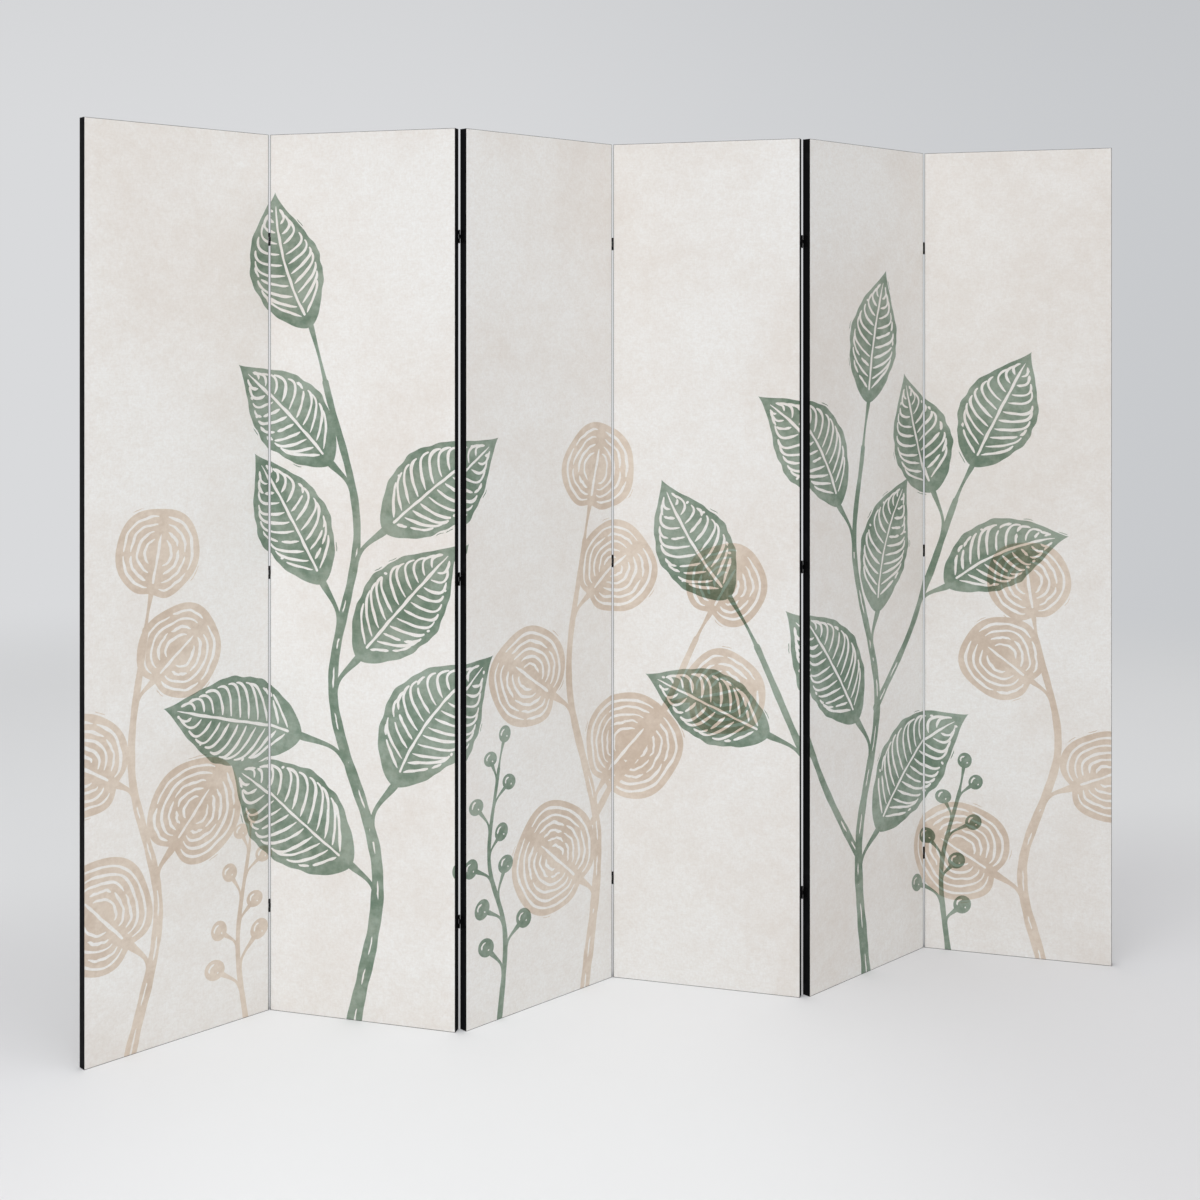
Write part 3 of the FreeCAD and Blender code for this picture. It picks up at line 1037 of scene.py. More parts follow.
@dataclass(frozen=True)
class PointedLeaf:
    """A long leaf with a midrib and side veins."""

    base: Point
    heading: float
    length: float
    width: float
    bend: float
    vein_pitch: float = 1.42
    vein_lean: float = 0.19
    veins_along: Point = (0.10, 0.84)
    vein_steps: int = 26
    vein_start: float = 0.75
    lean_spread: float = 0.03
    lean_fades: float = 0.35
    pitch_spread: Point = (0.93, 1.07)
    rib_room: float = 7.5
    rib_steps: int = 30
    fullest: float = 0.86
    slim: Point = (0.72, 0.5)
    edge_uneven: float = 0.035

    def place(self, t: np.ndarray, across: np.ndarray) -> np.ndarray:
        """Find points in the leaf.

        Args:
            t: Shares of the way from base to tip.
            across: Distances to the left of the leaf's middle.

        Returns:
            The points in the print.
        """
        ahead = np.array((math.cos(self.heading), math.sin(self.heading)))
        side = np.array((-ahead[1], ahead[0]))
        t = np.asarray(t, float)[:, None]
        across = np.asarray(across, float)[:, None]
        bow = self.bend * self.length
        middle = np.array(self.base) + ahead * self.length * t + side * bow * 4 * t * (1 - t)
        slope = bow * 4 * (1 - 2 * t) / self.length
        return middle + (side - ahead * slope) / np.sqrt(1 + slope**2) * across

    def half(self, t: np.ndarray) -> np.ndarray:
        """Find half the leaf's width along it: fullest below the middle, and slim towards the tip."""
        t = np.clip(np.asarray(t, float), 0, 1)
        return self.width / 2 * np.sin(math.pi * t**self.fullest) ** (self.slim[0] + self.slim[1] * t)

    def shape(self, rng: random.Random, carving: Carving, ink: Ink) -> Shape:
        """Draw the leaf with its veins cut out.

        Args:
            rng: The random numbers.
            carving: The hand that cuts it.
            ink: Its ink.

        Returns:
            The leaf.
        """
        count = max(24, round(self.length / 2.4))
        t = np.linspace(0.0, 1.0, count)
        edges = [self.place(t, side * self.half(t) * (1 + self.edge_uneven * wobble(rng, count, 4)))
                 for side in (1, -1)]
        outline = np.vstack((edges[0], edges[1][::-1][1:-1]))
        midrib = self.place(np.linspace(0.1, 0.9, self.rib_steps), np.zeros(self.rib_steps))
        cuts = [carving.cut(rng, midrib, None, (0.9, 0.2))]
        for side in (1, -1):
            cuts += self._veins(rng, carving, side)
        return Shape(ink, outline, cuts)

    def _veins(self, rng: random.Random, carving: Carving, side: int) -> list[np.ndarray]:
        """Cut the veins of one side of the leaf.

        Args:
            rng: The random numbers.
            carving: The hand that cuts it.
            side: The side, 1 for the left.

        Returns:
            The outlines of the cuts.
        """
        cuts: list[np.ndarray] = []
        pitch = carving.pitch * self.vein_pitch / self.length
        start = self.veins_along[0] + rng.uniform(0, 0.3) * pitch
        q = np.linspace(0, 1, self.vein_steps)
        outward = self.vein_start + (1 - self.vein_start) * q
        while start < self.veins_along[1]:
            lean = self.vein_lean + self.lean_spread * rng.uniform(-1, 1)
            lean = lean * (1 - self.lean_fades * start)
            t = start + lean * q * outward
            room = self.half(t) - carving.margin * outward
            across = self.rib_room + (room - self.rib_room) * np.sin(q * math.pi / 2) ** 0.9
            keep = (room > self.rib_room + 1.5) & (t < 0.92)
            if np.count_nonzero(keep) > 7:
                cuts += self._cut_vein(rng, carving, self.place(t[keep], side * across[keep]))
            start += pitch * rng.uniform(*self.pitch_spread)
        return cuts

    @staticmethod
    def _cut_vein(rng: random.Random, carving: Carving, path: np.ndarray) -> list[np.ndarray]:
        """Cut one vein whole, broken in two, or ended with a dot.

        Args:
            rng: The random numbers.
            carving: The hand that cuts it.
            path: The vein's middle.

        Returns:
            The outlines of the cuts.
        """
        chance = rng.random()
        count = len(path)
        piece = carving.least_piece
        if chance < carving.broken and count > 2 * piece + 2:
            split = rng.randint(piece, count - piece - 1)
            return [carving.cut(rng, path[: split + 1]), carving.cut(rng, path[split + 3:], None, (0.5, 0.5))]
        if chance < carving.broken + carving.dotted and count > 2 * piece + 1:
            return [carving.cut(rng, path[:-5]), carving.dot(rng, path[-1], carving.dot_radius)]
        return [carving.cut(rng, path)]


@dataclass(frozen=True)
class CoinLeaf:
    """A round leaf with rings of cut lines inside its edge."""

    base: Point
    heading: float
    width: float
    notch: Point = (0.16, 0.30)
    uneven: Point = (0.025, 0.02)
    seat: float = 0.84
    rib_room: float = 9.5
    rim_room: float = 1.15
    least_ring: float = 0.2
    ring_steps: int = 44
    ring_drift: float = 0.014
    break_over: float = 80.0
    break_chance: float = 0.6

    def shape(self, rng: random.Random, carving: Carving, ink: Ink) -> Shape:
        """Draw the leaf with its rings cut out.

        Args:
            rng: The random numbers.
            carving: The hand that cuts it.
            ink: Its ink.

        Returns:
            The leaf.
        """
        count = max(36, round(self.width * math.pi / 3))
        around = np.linspace(0, 2 * math.pi, count, endpoint=False)
        radius = self.width / 2
        uneven = self.uneven[0] * np.sin(3 * around + rng.uniform(0, 6))
        uneven += self.uneven[1] * np.sin(5 * around + rng.uniform(0, 6))
        depth, spread = self.notch
        notch = depth * np.exp(-((np.angle(np.exp(1j * (around - math.pi))) / spread) ** 2))
        reach = radius * (1 + uneven - notch)
        ahead = np.array((math.cos(self.heading), math.sin(self.heading)))
        centre = np.array(self.base) + radius * self.seat * ahead

        def at(angle: np.ndarray, share: np.ndarray) -> np.ndarray:
            """Find points by angle and share of the radius, unturned leaf."""
            size = np.interp(angle, around, reach, period=2 * math.pi) * share
            return polar(centre, angle + self.heading, size)

        midrib = at(np.array([math.pi, math.pi, 0.0, 0.0]), np.array([0.72, 0.3, 0.12, 0.42]))
        cuts = [carving.cut(rng, midrib, None, (0.8, 0.3))]
        share = 1 - carving.margin * self.rim_room / radius
        while share > self.least_ring:
            cuts += self._ring(rng, carving, at, share, radius)
            share -= carving.pitch / radius
        return Shape(ink, at(around, np.ones(count)), cuts)

    def _ring(self, rng: random.Random, carving: Carving, at: Callable[[np.ndarray, np.ndarray], np.ndarray],
              share: float, radius: float) -> list[np.ndarray]:
        """Cut one ring on both sides of the midrib, open at the midrib's ends and broken by chance.

        Args:
            rng: The random numbers.
            carving: The hand that cuts it.
            at: Finds points in the leaf by angle and share of the radius.
            share: The ring's share of the radius.
            radius: The leaf's radius.

        Returns:
            The outlines of the cuts.
        """
        cuts = []
        gap = self.rib_room / (radius * share)
        for side in (1, -1):
            first, last = gap * rng.uniform(1.0, 1.9), math.pi - gap * rng.uniform(1.2, 2.2)
            if last - first < 0.25:
                continue
            breaks = [first, last]
            if (last - first) * radius * share > self.break_over and rng.random() < self.break_chance:
                middle = first + (last - first) * rng.uniform(0.3, 0.7)
                breaks = [first, middle - 0.4 * gap, middle + 0.55 * gap, last]
            for low, high in zip(breaks[::2], breaks[1::2]):
                angle = np.linspace(low, high, self.ring_steps)
                drift = share + self.ring_drift * wobble(rng, self.ring_steps, 1.5)
                cuts.append(carving.cut(rng, at(side * angle % (2 * math.pi), drift), None, (0.4, 0.4)))
        return cuts


@dataclass(frozen=True)
class Seed:
    """A small round berry with a cut highlight."""

    centre: Point
    width: float
    highlight: float = 3.4
    highlight_reach: float = 0.56
    highlight_turn: Point = (95.0, 190.0)
    speck: float = 1.6
    speck_aside: Point = (0.6, 0.55)
    uneven: float = 0.06

    def shape(self, rng: random.Random, carving: Carving, ink: Ink) -> Shape:
        """Draw the berry with its highlight cut out.

        Args:
            rng: The random numbers.
            carving: The hand that cuts it.
            ink: Its ink.

        Returns:
            The berry.
        """
        around = np.linspace(0, 2 * math.pi, 40, endpoint=False)
        reach = self.width / 2 * (1 + self.uneven * np.sin(2 * around + rng.uniform(0, 6)))
        inner = self.width / 2 * self.highlight_reach
        first, last = (math.radians(turn) for turn in self.highlight_turn)
        path = polar(self.centre, np.linspace(first, last, 14), inner)
        right, down = self.speck_aside
        spot = (self.centre[0] + inner * right, self.centre[1] - inner * down)
        cuts = [carving.cut(rng, path, self.highlight), carving.dot(rng, spot, self.speck)]
        return Shape(ink, polar(self.centre, around, reach), cuts)


class Motif(Enum):
    """What grows on a branch."""

    POINTED = "pointed leaves"
    COIN = "round leaves"
    SEEDS = "berries"


@dataclass(frozen=True)
class Branch:
    """A branch of the print: a stem through a few points, and what grows on it.

    The foot and the top are half the stem's width at its ends. What grows starts at a first share of
    the way up and opens by an angle in degrees. Its last share and its stalk's reach have one value
    for leaves and one for berries.
    """

    seed: int
    ink: Ink
    motif: Motif
    knots: tuple[Point, ...]
    count: int
    size: Point
    foot: float
    top: float
    first: float = 0.2
    open_angle: float = 50.0
    open_fades: Point = (1.08, 0.35)
    open_spread: Point = (0.85, 1.15)
    last: Point = (0.82, 0.94)
    size_spread: Point = (0.75, 1.2)
    top_size: float = 1.04
    top_turn: float = 0.12
    stem_uneven: float = 0.09
    stem_wave: float = 28.0
    stalk_reach: Point = (0.34, 1.5)
    reach_spread: Point = (0.8, 1.2)
    stalk_share: float = 0.62
    stalk_halves: Point = (2.6, 5.2)
    leaf_breadth: Point = (0.52, 0.60)
    leaf_bow: Point = (-0.09, 0.02)

    def shapes(self, carving: Carving) -> list[Shape]:
        """Draw the branch.

        Args:
            carving: The hand that cuts it.

        Returns:
            Its stem, stalks and leaves.
        """
        rng = random.Random(self.seed)
        stem = smooth_line(self.knots, 4.0)
        count = len(stem)
        q = np.linspace(0, 1, count)
        halves = self.foot + (self.top - self.foot) * q**0.8
        halves = halves * (1 + self.stem_uneven * wobble(rng, count, count / self.stem_wave))
        shapes = [Shape(self.ink, band(stem, halves), self._stem_cuts(rng, carving, stem, halves))]
        along, _ = normals(stem)
        side = rng.choice((1, -1))
        last = self.last[self.motif is Motif.SEEDS]
        high, fades = self.open_fades
        for number in range(self.count):
            share = self.first + (last - self.first) * number / max(1, self.count - 1)
            index = min(count - 2, round(share * (count - 1)))
            size = self.size[0] + (self.size[1] - self.size[0]) * (1 - share) * rng.uniform(*self.size_spread)
            turn = math.radians(self.open_angle * (high - fades * share) * rng.uniform(*self.open_spread))
            heading = math.atan2(along[index][1], along[index][0]) + side * turn
            shapes += self._grow(rng, carving, stem[index], halves[index], along[index], heading, size, side)
            side = -side
        heading = math.atan2(along[-1][1], along[-1][0]) + rng.uniform(-self.top_turn, self.top_turn)
        size = self.size[0] * self.top_size
        return shapes + self._grow(rng, carving, stem[-1], self.top, along[-1], heading, size, side)

    @staticmethod
    def _stem_cuts(rng: random.Random, carving: Carving, stem: np.ndarray,
                   halves: np.ndarray) -> list[np.ndarray]:
        """Cut a few short lines along the thick part of the stem.

        Args:
            rng: The random numbers.
            carving: The hand that cuts it.
            stem: The stem's middle line.
            halves: Half its width at each point.

        Returns:
            The outlines of the cuts.
        """
        cuts = []
        _, left = normals(stem)
        index = 4
        while index < len(stem) - 20 and halves[index] > carving.stem_over:
            run = rng.randint(*carving.stem_run)
            path = (stem + left * rng.uniform(-carving.stem_aside, carving.stem_aside))[index:index + run]
            cuts.append(carving.cut(rng, path, carving.fine_line, (0.2, 0.2)))
            index += run + rng.randint(*carving.stem_gap)
        return cuts

    def _grow(self, rng: random.Random, carving: Carving, foot: np.ndarray, thick: float, along: np.ndarray,
              heading: float, size: float, side: int) -> list[Shape]:
        """Draw a stalk and the leaf or berry at its end.

        Args:
            rng: The random numbers.
            carving: The hand that cuts it.
            foot: Where the stalk leaves the stem.
            thick: Half the stem's width there.
            along: The stem's direction there.
            heading: The stalk's direction at its end.
            size: The length or width of what grows.
            side: The side of the stem, 1 for its left.

        Returns:
            The stalk, the leaf and the stray marks round it.
        """
        reach = size * self.stalk_reach[self.motif is Motif.SEEDS] * rng.uniform(*self.reach_spread)
        ahead = np.array((math.cos(heading), math.sin(heading)))
        middle = foot + 0.45 * reach * (0.55 * along + 0.45 * ahead)
        tip = middle + ahead * reach * 0.6
        stalk = smooth_line([tuple(foot - along * thick * 0.6), tuple(middle), tuple(tip)], 3.0)
        slim = max(self.stalk_halves[0], min(thick * self.stalk_share, self.stalk_halves[1]))
        flare = np.linspace(0, 1, len(stalk))
        halves = slim * (1.25 - 0.5 * np.sin(math.pi * np.clip(flare * 1.1, 0, 1)) + 0.25 * flare**3)
        base = tuple(tip - ahead * 3.0)
        if self.motif is Motif.POINTED:
            width = size * rng.uniform(*self.leaf_breadth)
            leaf = PointedLeaf(base, heading, size, width, side * rng.uniform(*self.leaf_bow))
        elif self.motif is Motif.COIN:
            leaf = CoinLeaf(base, heading, size)
        else:
            leaf = Seed(tuple(tip + ahead * size * 0.4), size)
        shapes = [Shape(self.ink, band(stalk, halves)), leaf.shape(rng, carving, self.ink)]
        if self.motif is not Motif.SEEDS:
            shapes += self._stray(rng, carving, shapes[1].outline)
        return shapes

    def _stray(self, rng: random.Random, carving: Carving, outline: np.ndarray) -> list[Shape]:
        """Leave the small ridges of uncut block that print beside a shape's edge.

        Args:
            rng: The random numbers.
            carving: The hand that cuts it.
            outline: The shape's outline.

        Returns:
            The marks.
        """
        marks = []
        middle = outline.mean(axis=0)
        for _ in range(rng.randint(1, 3)):
            start = rng.randrange(len(outline) - carving.stray_steps - 1)
            run = outline[start:start + carving.stray_steps]
            away = run - middle
            away /= np.linalg.norm(away, axis=1)[:, None]
            run = run + away * rng.uniform(*carving.stray_away)
            marks.append(Shape(self.ink, carving.cut(rng, run, carving.stray_line, (0.1, 0.1))))
        return marks


@dataclass(frozen=True)
class PlantPrint:
    """A generic pattern of branches that runs across all six panels."""

    carving: Carving = Carving()
    branches: tuple[Branch, ...] = (
        Branch(115213, Ink.BEIGE, Motif.COIN, ((84, -20), (146, 250), (92, 520), (120, 770)),
               4, (165, 225), 12.0, 6.0),
        Branch(136727, Ink.BEIGE, Motif.COIN, ((1070, -20), (1108, 300), (1030, 620), (1072, 900)),
               4, (175, 240), 13.5, 6.0),
        Branch(2317643, Ink.BEIGE, Motif.COIN, ((1096, 330), (1226, 500), (1322, 700)),
               1, (160, 185), 8.5, 5.6, 0.62),
        Branch(154002, Ink.BEIGE, Motif.COIN, ((2160, -20), (2118, 190), (2190, 440), (2150, 660)),
               3, (165, 215), 12.0, 6.0),
        Branch(123226, Ink.SAGE, Motif.POINTED,
               ((556, -20), (608, 290), (516, 620), (566, 940), (500, 1220)),
               7, (262, 340), 15.0, 6.4),
        Branch(141001, Ink.SAGE, Motif.POINTED,
               ((1716, -20), (1690, 270), (1752, 560), (1676, 860), (1704, 1080)),
               4, (270, 345), 15.0, 6.4),
        Branch(2404453, Ink.SAGE, Motif.POINTED, ((1692, 240), (1566, 430), (1446, 690)),
               1, (262, 300), 9.5, 6.0, 0.52),
        Branch(342939, Ink.SAGE, Motif.POINTED, ((1748, 540), (1890, 720), (1980, 960)),
               2, (262, 300), 9.5, 6.0, 0.5),
        Branch(161203, Ink.SAGE, Motif.SEEDS, ((846, -20), (862, 160), (822, 310), (846, 480)),
               9, (30, 42), 7.0, 3.6),
        Branch(170030, Ink.BEIGE, Motif.SEEDS, ((334, -20), (314, 150), (340, 330)),
               7, (30, 42), 6.5, 3.6),
        Branch(182140, Ink.SAGE, Motif.SEEDS, ((1966, -20), (1950, 170), (1988, 340)),
               7, (30, 42), 6.5, 3.6),
    )

    def shapes(self) -> list[Shape]:
        """Draw every branch."""
        return [shape for branch in self.branches for shape in branch.shapes(self.carving)]


@dataclass(frozen=True)
class Canvas:
    """Cloth over one face of a panel, rolled over the frame's edge and turned back along it."""

    face: Face
    zigzag: Zigzag = Zigzag()
    inset: float = 0.5
    roll: float = 1.0
    turn_back: float = 6.0
    cloth: float = 0.5
    roll_steps: int = 4
    back_uv_shift: float = 9.0

    @property
    def slot(self) -> Slot:
        """The finish of this cloth."""
        return Slot.PRINTED if self.face is Face.FRONT else Slot.PLAIN

    @property
    def flat_size(self) -> tuple[float, float]:
        """The size that the cloth was cut to, in metres."""
        extra = 2 * (self.turn_back - self.roll + self.roll * math.pi / 2 - self.inset - self.roll)
        return (self.zigzag.width + extra) * MM, (self.zigzag.height + extra) * MM

    def _corners(self) -> np.ndarray:
        """Find the corners of the flat part.

        Returns:
            The corners, anticlockwise from the foot of the left edge.
        """
        low = self.inset + self.roll
        wide, high = self.zigzag.width - low, self.zigzag.height - low
        return np.array(((low, low), (wide, low), (wide, high), (low, high)))

    def _flat_part(self, panel: int, shapes: Sequence[Shape]
                   ) -> tuple[np.ndarray, np.ndarray, dict[Ink, np.ndarray]]:
        """Divide the flat part along the edges of the print.

        Args:
            panel: The panel's number.
            shapes: The print's shapes.

        Returns:
            The vertices, the triangles, and for each ink whether it is on each triangle.
        """
        corners = self._corners()
        shift = np.array(((panel - 1) * self.zigzag.width, 0.0))
        near = [s for s in shapes if s.reaches(shift[0], shift[0] + self.zigzag.width)]
        loops = [corners] + [loop - shift for s in near for loop in (s.outline, *s.cuts)]
        points, triangles = triangulate(loops)
        triangles = triangles[inside(corners, points[triangles].mean(axis=1))]
        centres = points[triangles].mean(axis=1)
        inked = {ink: np.zeros(len(triangles), bool) for ink in Ink}
        for shape in near:
            here = inside(shape.outline - shift, centres)
            for cut in shape.cuts:
                here &= ~inside(cut - shift, centres)
            inked[shape.ink] |= here
        used, flat = np.unique(triangles, return_inverse=True)
        return points[used], flat.reshape(triangles.shape), inked

    def _rim(self, points: np.ndarray) -> tuple[list[int], list[tuple[int, int]]]:
        """Walk round the flat part's edge.

        Args:
            points: The flat part's vertices.

        Returns:
            The vertices on the edge in anticlockwise order, and the way out from each.
        """
        low, high = self._corners()[0], self._corners()[2]
        near = 1e-3
        order: list[int] = []
        outs: dict[int, list[int]] = {}
        for axis, bound, way, rising in ((1, low[1], -1, True), (0, high[0], 1, True),
                                         (1, high[1], 1, False), (0, low[0], -1, False)):
            side = np.flatnonzero(np.abs(points[:, axis] - bound) < near)
            side = side[np.argsort(points[side, 1 - axis])]
            for index in (side if rising else side[::-1]):
                outs.setdefault(int(index), [0, 0])[axis] = way
                if int(index) not in order[-1:] and int(index) not in order[:1]:
                    order.append(int(index))
        return order, [tuple(outs[index]) for index in order]

    def _hem(self) -> list[Triple]:
        """Walk round the rolled edge: along its outside, over the raw edge and back along its inside.

        Returns:
            For each step the way out, the way in and the distance walked along the cloth.
        """
        turns = [math.pi / 2 * k / self.roll_steps for k in range(1, self.roll_steps + 1)]
        walked = self.roll * math.pi / 2 + (self.turn_back - self.roll)
        small = self.roll - self.cloth
        outer = [(self.roll * math.sin(a), self.roll * (1 - math.cos(a)), self.roll * a) for a in turns]
        inner = [(small * math.sin(a), self.roll - small * math.cos(a), self.roll * a) for a in turns]
        return [*outer, (self.roll, self.turn_back, walked),
                (small, self.turn_back, walked), *inner[::-1], (0.0, self.cloth, 0.0)]

    def build(self, panel: int, shapes: Sequence[Shape]) -> bpy.types.Object:
        """Build the cloth of one face.

        Args:
            panel: The panel's number.
            shapes: The print's shapes, none for plain cloth.

        Returns:
            The cloth, in the row.
        """
        flat, triangles, inked = self._flat_part(panel, shapes)
        rim, ways = self._rim(flat)
        count = len(rim)
        points = [(x, 0.0, z) for x, z in flat]
        places = [(x, z) for x, z in flat]
        faces = [tuple(corners) for corners in triangles.tolist()]
        sources = list(range(len(faces)))
        owner = {pair: number for number, face in enumerate(faces)
                 for pair in zip(face, face[1:] + face[:1])}
        beside = [owner.get((rim[i], rim[(i + 1) % count]), 0) for i in range(count)]
        near = rim
        for out, into, walked in self._hem():
            far = list(range(len(points), len(points) + count))
            for index, (side, end) in zip(rim, ways):
                x, z = flat[index]
                points.append((x + side * out, into, z + end * out))
                places.append((x + side * walked, z + end * walked))
            for i in range(count):
                j = (i + 1) % count
                faces.append((near[i], far[i], far[j], near[j]))
            sources += beside
            near = far
        faces.append(tuple(near[::-1]))
        sources.append(-1)
        return self._finish(panel, points, places, faces, sources, inked)

    def _finish(self, panel: int, points: list[Triple], places: list[Point],
                faces: list[tuple[int, ...]], sources: list[int],
                inked: dict[Ink, np.ndarray]) -> bpy.types.Object:
        """Turn the cloth's lists into an object with its own coordinates and inks.

        Args:
            panel: The panel's number.
            points: The vertices in the panel.
            places: Where each vertex lies in the flat cloth.
            faces: The faces.
            sources: For each face, the flat triangle whose ink it takes, or -1 for bare cloth.
            inked: For each ink whether it is on each flat triangle.

        Returns:
            The cloth, in the row.
        """
        back = self.face is Face.BACK
        if back:
            points = [(x, self.zigzag.thickness - y, z) for x, y, z in points]
            faces = [face[::-1] for face in faces]
        name = f"panel_{panel}_{self.face.value}_cloth"
        mesh = bpy.data.meshes.new(name)
        mesh.from_pydata(points, [], faces)
        start = (panel - 1) * self.zigzag.width
        shift = self.back_uv_shift if back else 0.0
        layer = mesh.uv_layers.new(name=CLOTH_UV)
        corners = np.empty(len(mesh.loops), np.int32)
        mesh.loops.foreach_get("vertex_index", corners)
        flat = np.array(places)[corners]
        flat = np.column_stack((flat[:, 0] + start, flat[:, 1])) * MM + shift
        layer.data.foreach_set("uv", flat.astype(np.float32).ravel())
        chosen = np.array(sources)
        for ink, on in inked.items():
            values = np.where(chosen >= 0, on[np.maximum(chosen, 0)], False).astype(np.float32)
            mesh.attributes.new(ink.value, "FLOAT", "FACE").data.foreach_set("value", values)
        mesh.transform(self.zigzag.panel_matrix(panel))
        return stand(name, mesh)


def stand(name: str, mesh: bpy.types.Mesh) -> bpy.types.Object:
    """Put a mesh in the scene as an object at the origin.

    Args:
        name: The object's name.
        mesh: Its mesh.

    Returns:
        The object.
    """
    made = bpy.data.objects.new(name, mesh)
    bpy.context.scene.collection.objects.link(made)
    return made


@dataclass(frozen=True)
class EdgeTape:
    """The four strips that bind a panel's edges."""

    zigzag: Zigzag = Zigzag()
    strip: float = 0.5
    set_back: float = 0.25
    joint: float = 0.1
    corner: float = 0.18

    def _section(self) -> np.ndarray:
        """Outline a strip across its length: out from the panel, then front to back."""
        front, back = self.set_back, self.zigzag.thickness - self.set_back
        return rounded_end(0.0, self.strip, front, back, self.corner, 4)

    def build(self, panel: int) -> bpy.types.Object:
        """Build the four strips of a panel.

        Args:
            panel: The panel's number.

        Returns:
            The strips, in the row.
        """
        parts = Parts()
        wide, high, inner = self.zigzag.width, self.zigzag.height, self.strip
        ends = (inner + self.joint, wide - inner - self.joint)
        runs = (
            ((0.0, high), lambda out, y, run: (inner - out, y, run)),
            ((0.0, high), lambda out, y, run: (wide - inner + out, y, run)),
            (ends, lambda out, y, run: (run, y, inner - out)),
            (ends, lambda out, y, run: (run, y, high - inner + out)),
        )
        for levels, place in runs:
            slab_with_holes(parts, self._section(), [], levels, place)
        mesh = parts.mesh(f"panel_{panel}_tape")
        mesh.transform(self.zigzag.panel_matrix(panel))
        return stand(mesh.name, mesh)


class RepeatTree:
    """A geometry tree that repeats one small piece up an edge, in rows of one or more."""

    INPUTS = (
        ("Piece", "NodeSocketGeometry"), ("Rows", "NodeSocketInt"), ("Row Pitch", FLOAT),
        ("In Row", "NodeSocketInt"), ("Pitch In Row", FLOAT), ("Turn", FLOAT),
        ("Turn Seed", "NodeSocketInt"), ("Finish", "NodeSocketMaterial"),
    )

    def __init__(self) -> None:
        """Draw the tree."""
        graph, start, end = new_group("repeat_up_an_edge", "GeometryNodeTree", self.INPUTS,
                                      [("Piece", "NodeSocketGeometry")])
        wanted = start.outputs
        rows = self._line(graph, wanted["Rows"], wanted["Row Pitch"])
        row = self._line(graph, wanted["In Row"], wanted["Pitch In Row"])
        spots = graph.add("GeometryNodeInstanceOnPoints", {"Points": rows, "Instance": row}).outputs[0]
        spots = graph.add("GeometryNodeRealizeInstances", {"Geometry": spots}).outputs[0]
        chance = graph.add("FunctionNodeRandomValue", {"Seed": wanted["Turn Seed"]}, data_type="FLOAT")
        turn = graph.math("MULTIPLY", chance.outputs["Value"], wanted["Turn"])
        turns = graph.add("ShaderNodeCombineXYZ", {"X": turn}).outputs[0]
        copies = graph.add("GeometryNodeInstanceOnPoints",
                           {"Points": spots, "Instance": wanted["Piece"], "Rotation": turns}).outputs[0]
        real = graph.add("GeometryNodeRealizeInstances", {"Geometry": copies}).outputs[0]
        dressed = graph.add("GeometryNodeSetMaterial", {"Geometry": real, "Material": wanted["Finish"]})
        graph.feed(end.inputs["Piece"], dressed.outputs[0])
        self.tree = graph.tree

    @staticmethod
    def _line(graph: Graph, count: Socket, pitch: Socket) -> Socket:
        """Add an upright line of points.

        Args:
            graph: The tree's graph.
            count: The number of points.
            pitch: The distance from one to the next.

        Returns:
            The line.
        """
        step = graph.add("ShaderNodeCombineXYZ", {"Z": pitch}).outputs[0]
        line = graph.add("GeometryNodeMeshLine", {"Count": count, "Offset": step}, mode="OFFSET")
        return line.outputs["Mesh"]

    def repeat(self, name: str, piece: bpy.types.Mesh, values: dict[str, object]) -> bpy.types.Mesh:
        """Repeat a piece.

        Args:
            name: The name of the new mesh.
            piece: The piece at its first place.
            values: The tree's inputs, by name.

        Returns:
            One plain mesh of every copy.
        """
        holder = stand(f"{name}_source", piece)
        modifier = holder.modifiers.new("repeat", "NODES")
        modifier.node_group = self.tree
        for item in self.tree.interface.items_tree:
            if item.in_out == "INPUT" and item.name in values:
                modifier[item.identifier] = values[item.name]
        evaluated = holder.evaluated_get(bpy.context.evaluated_depsgraph_get())
        made = bpy.data.meshes.new_from_object(evaluated)
        made.name = name
        holder.modifiers.clear()
        bpy.data.objects.remove(holder)
        return made


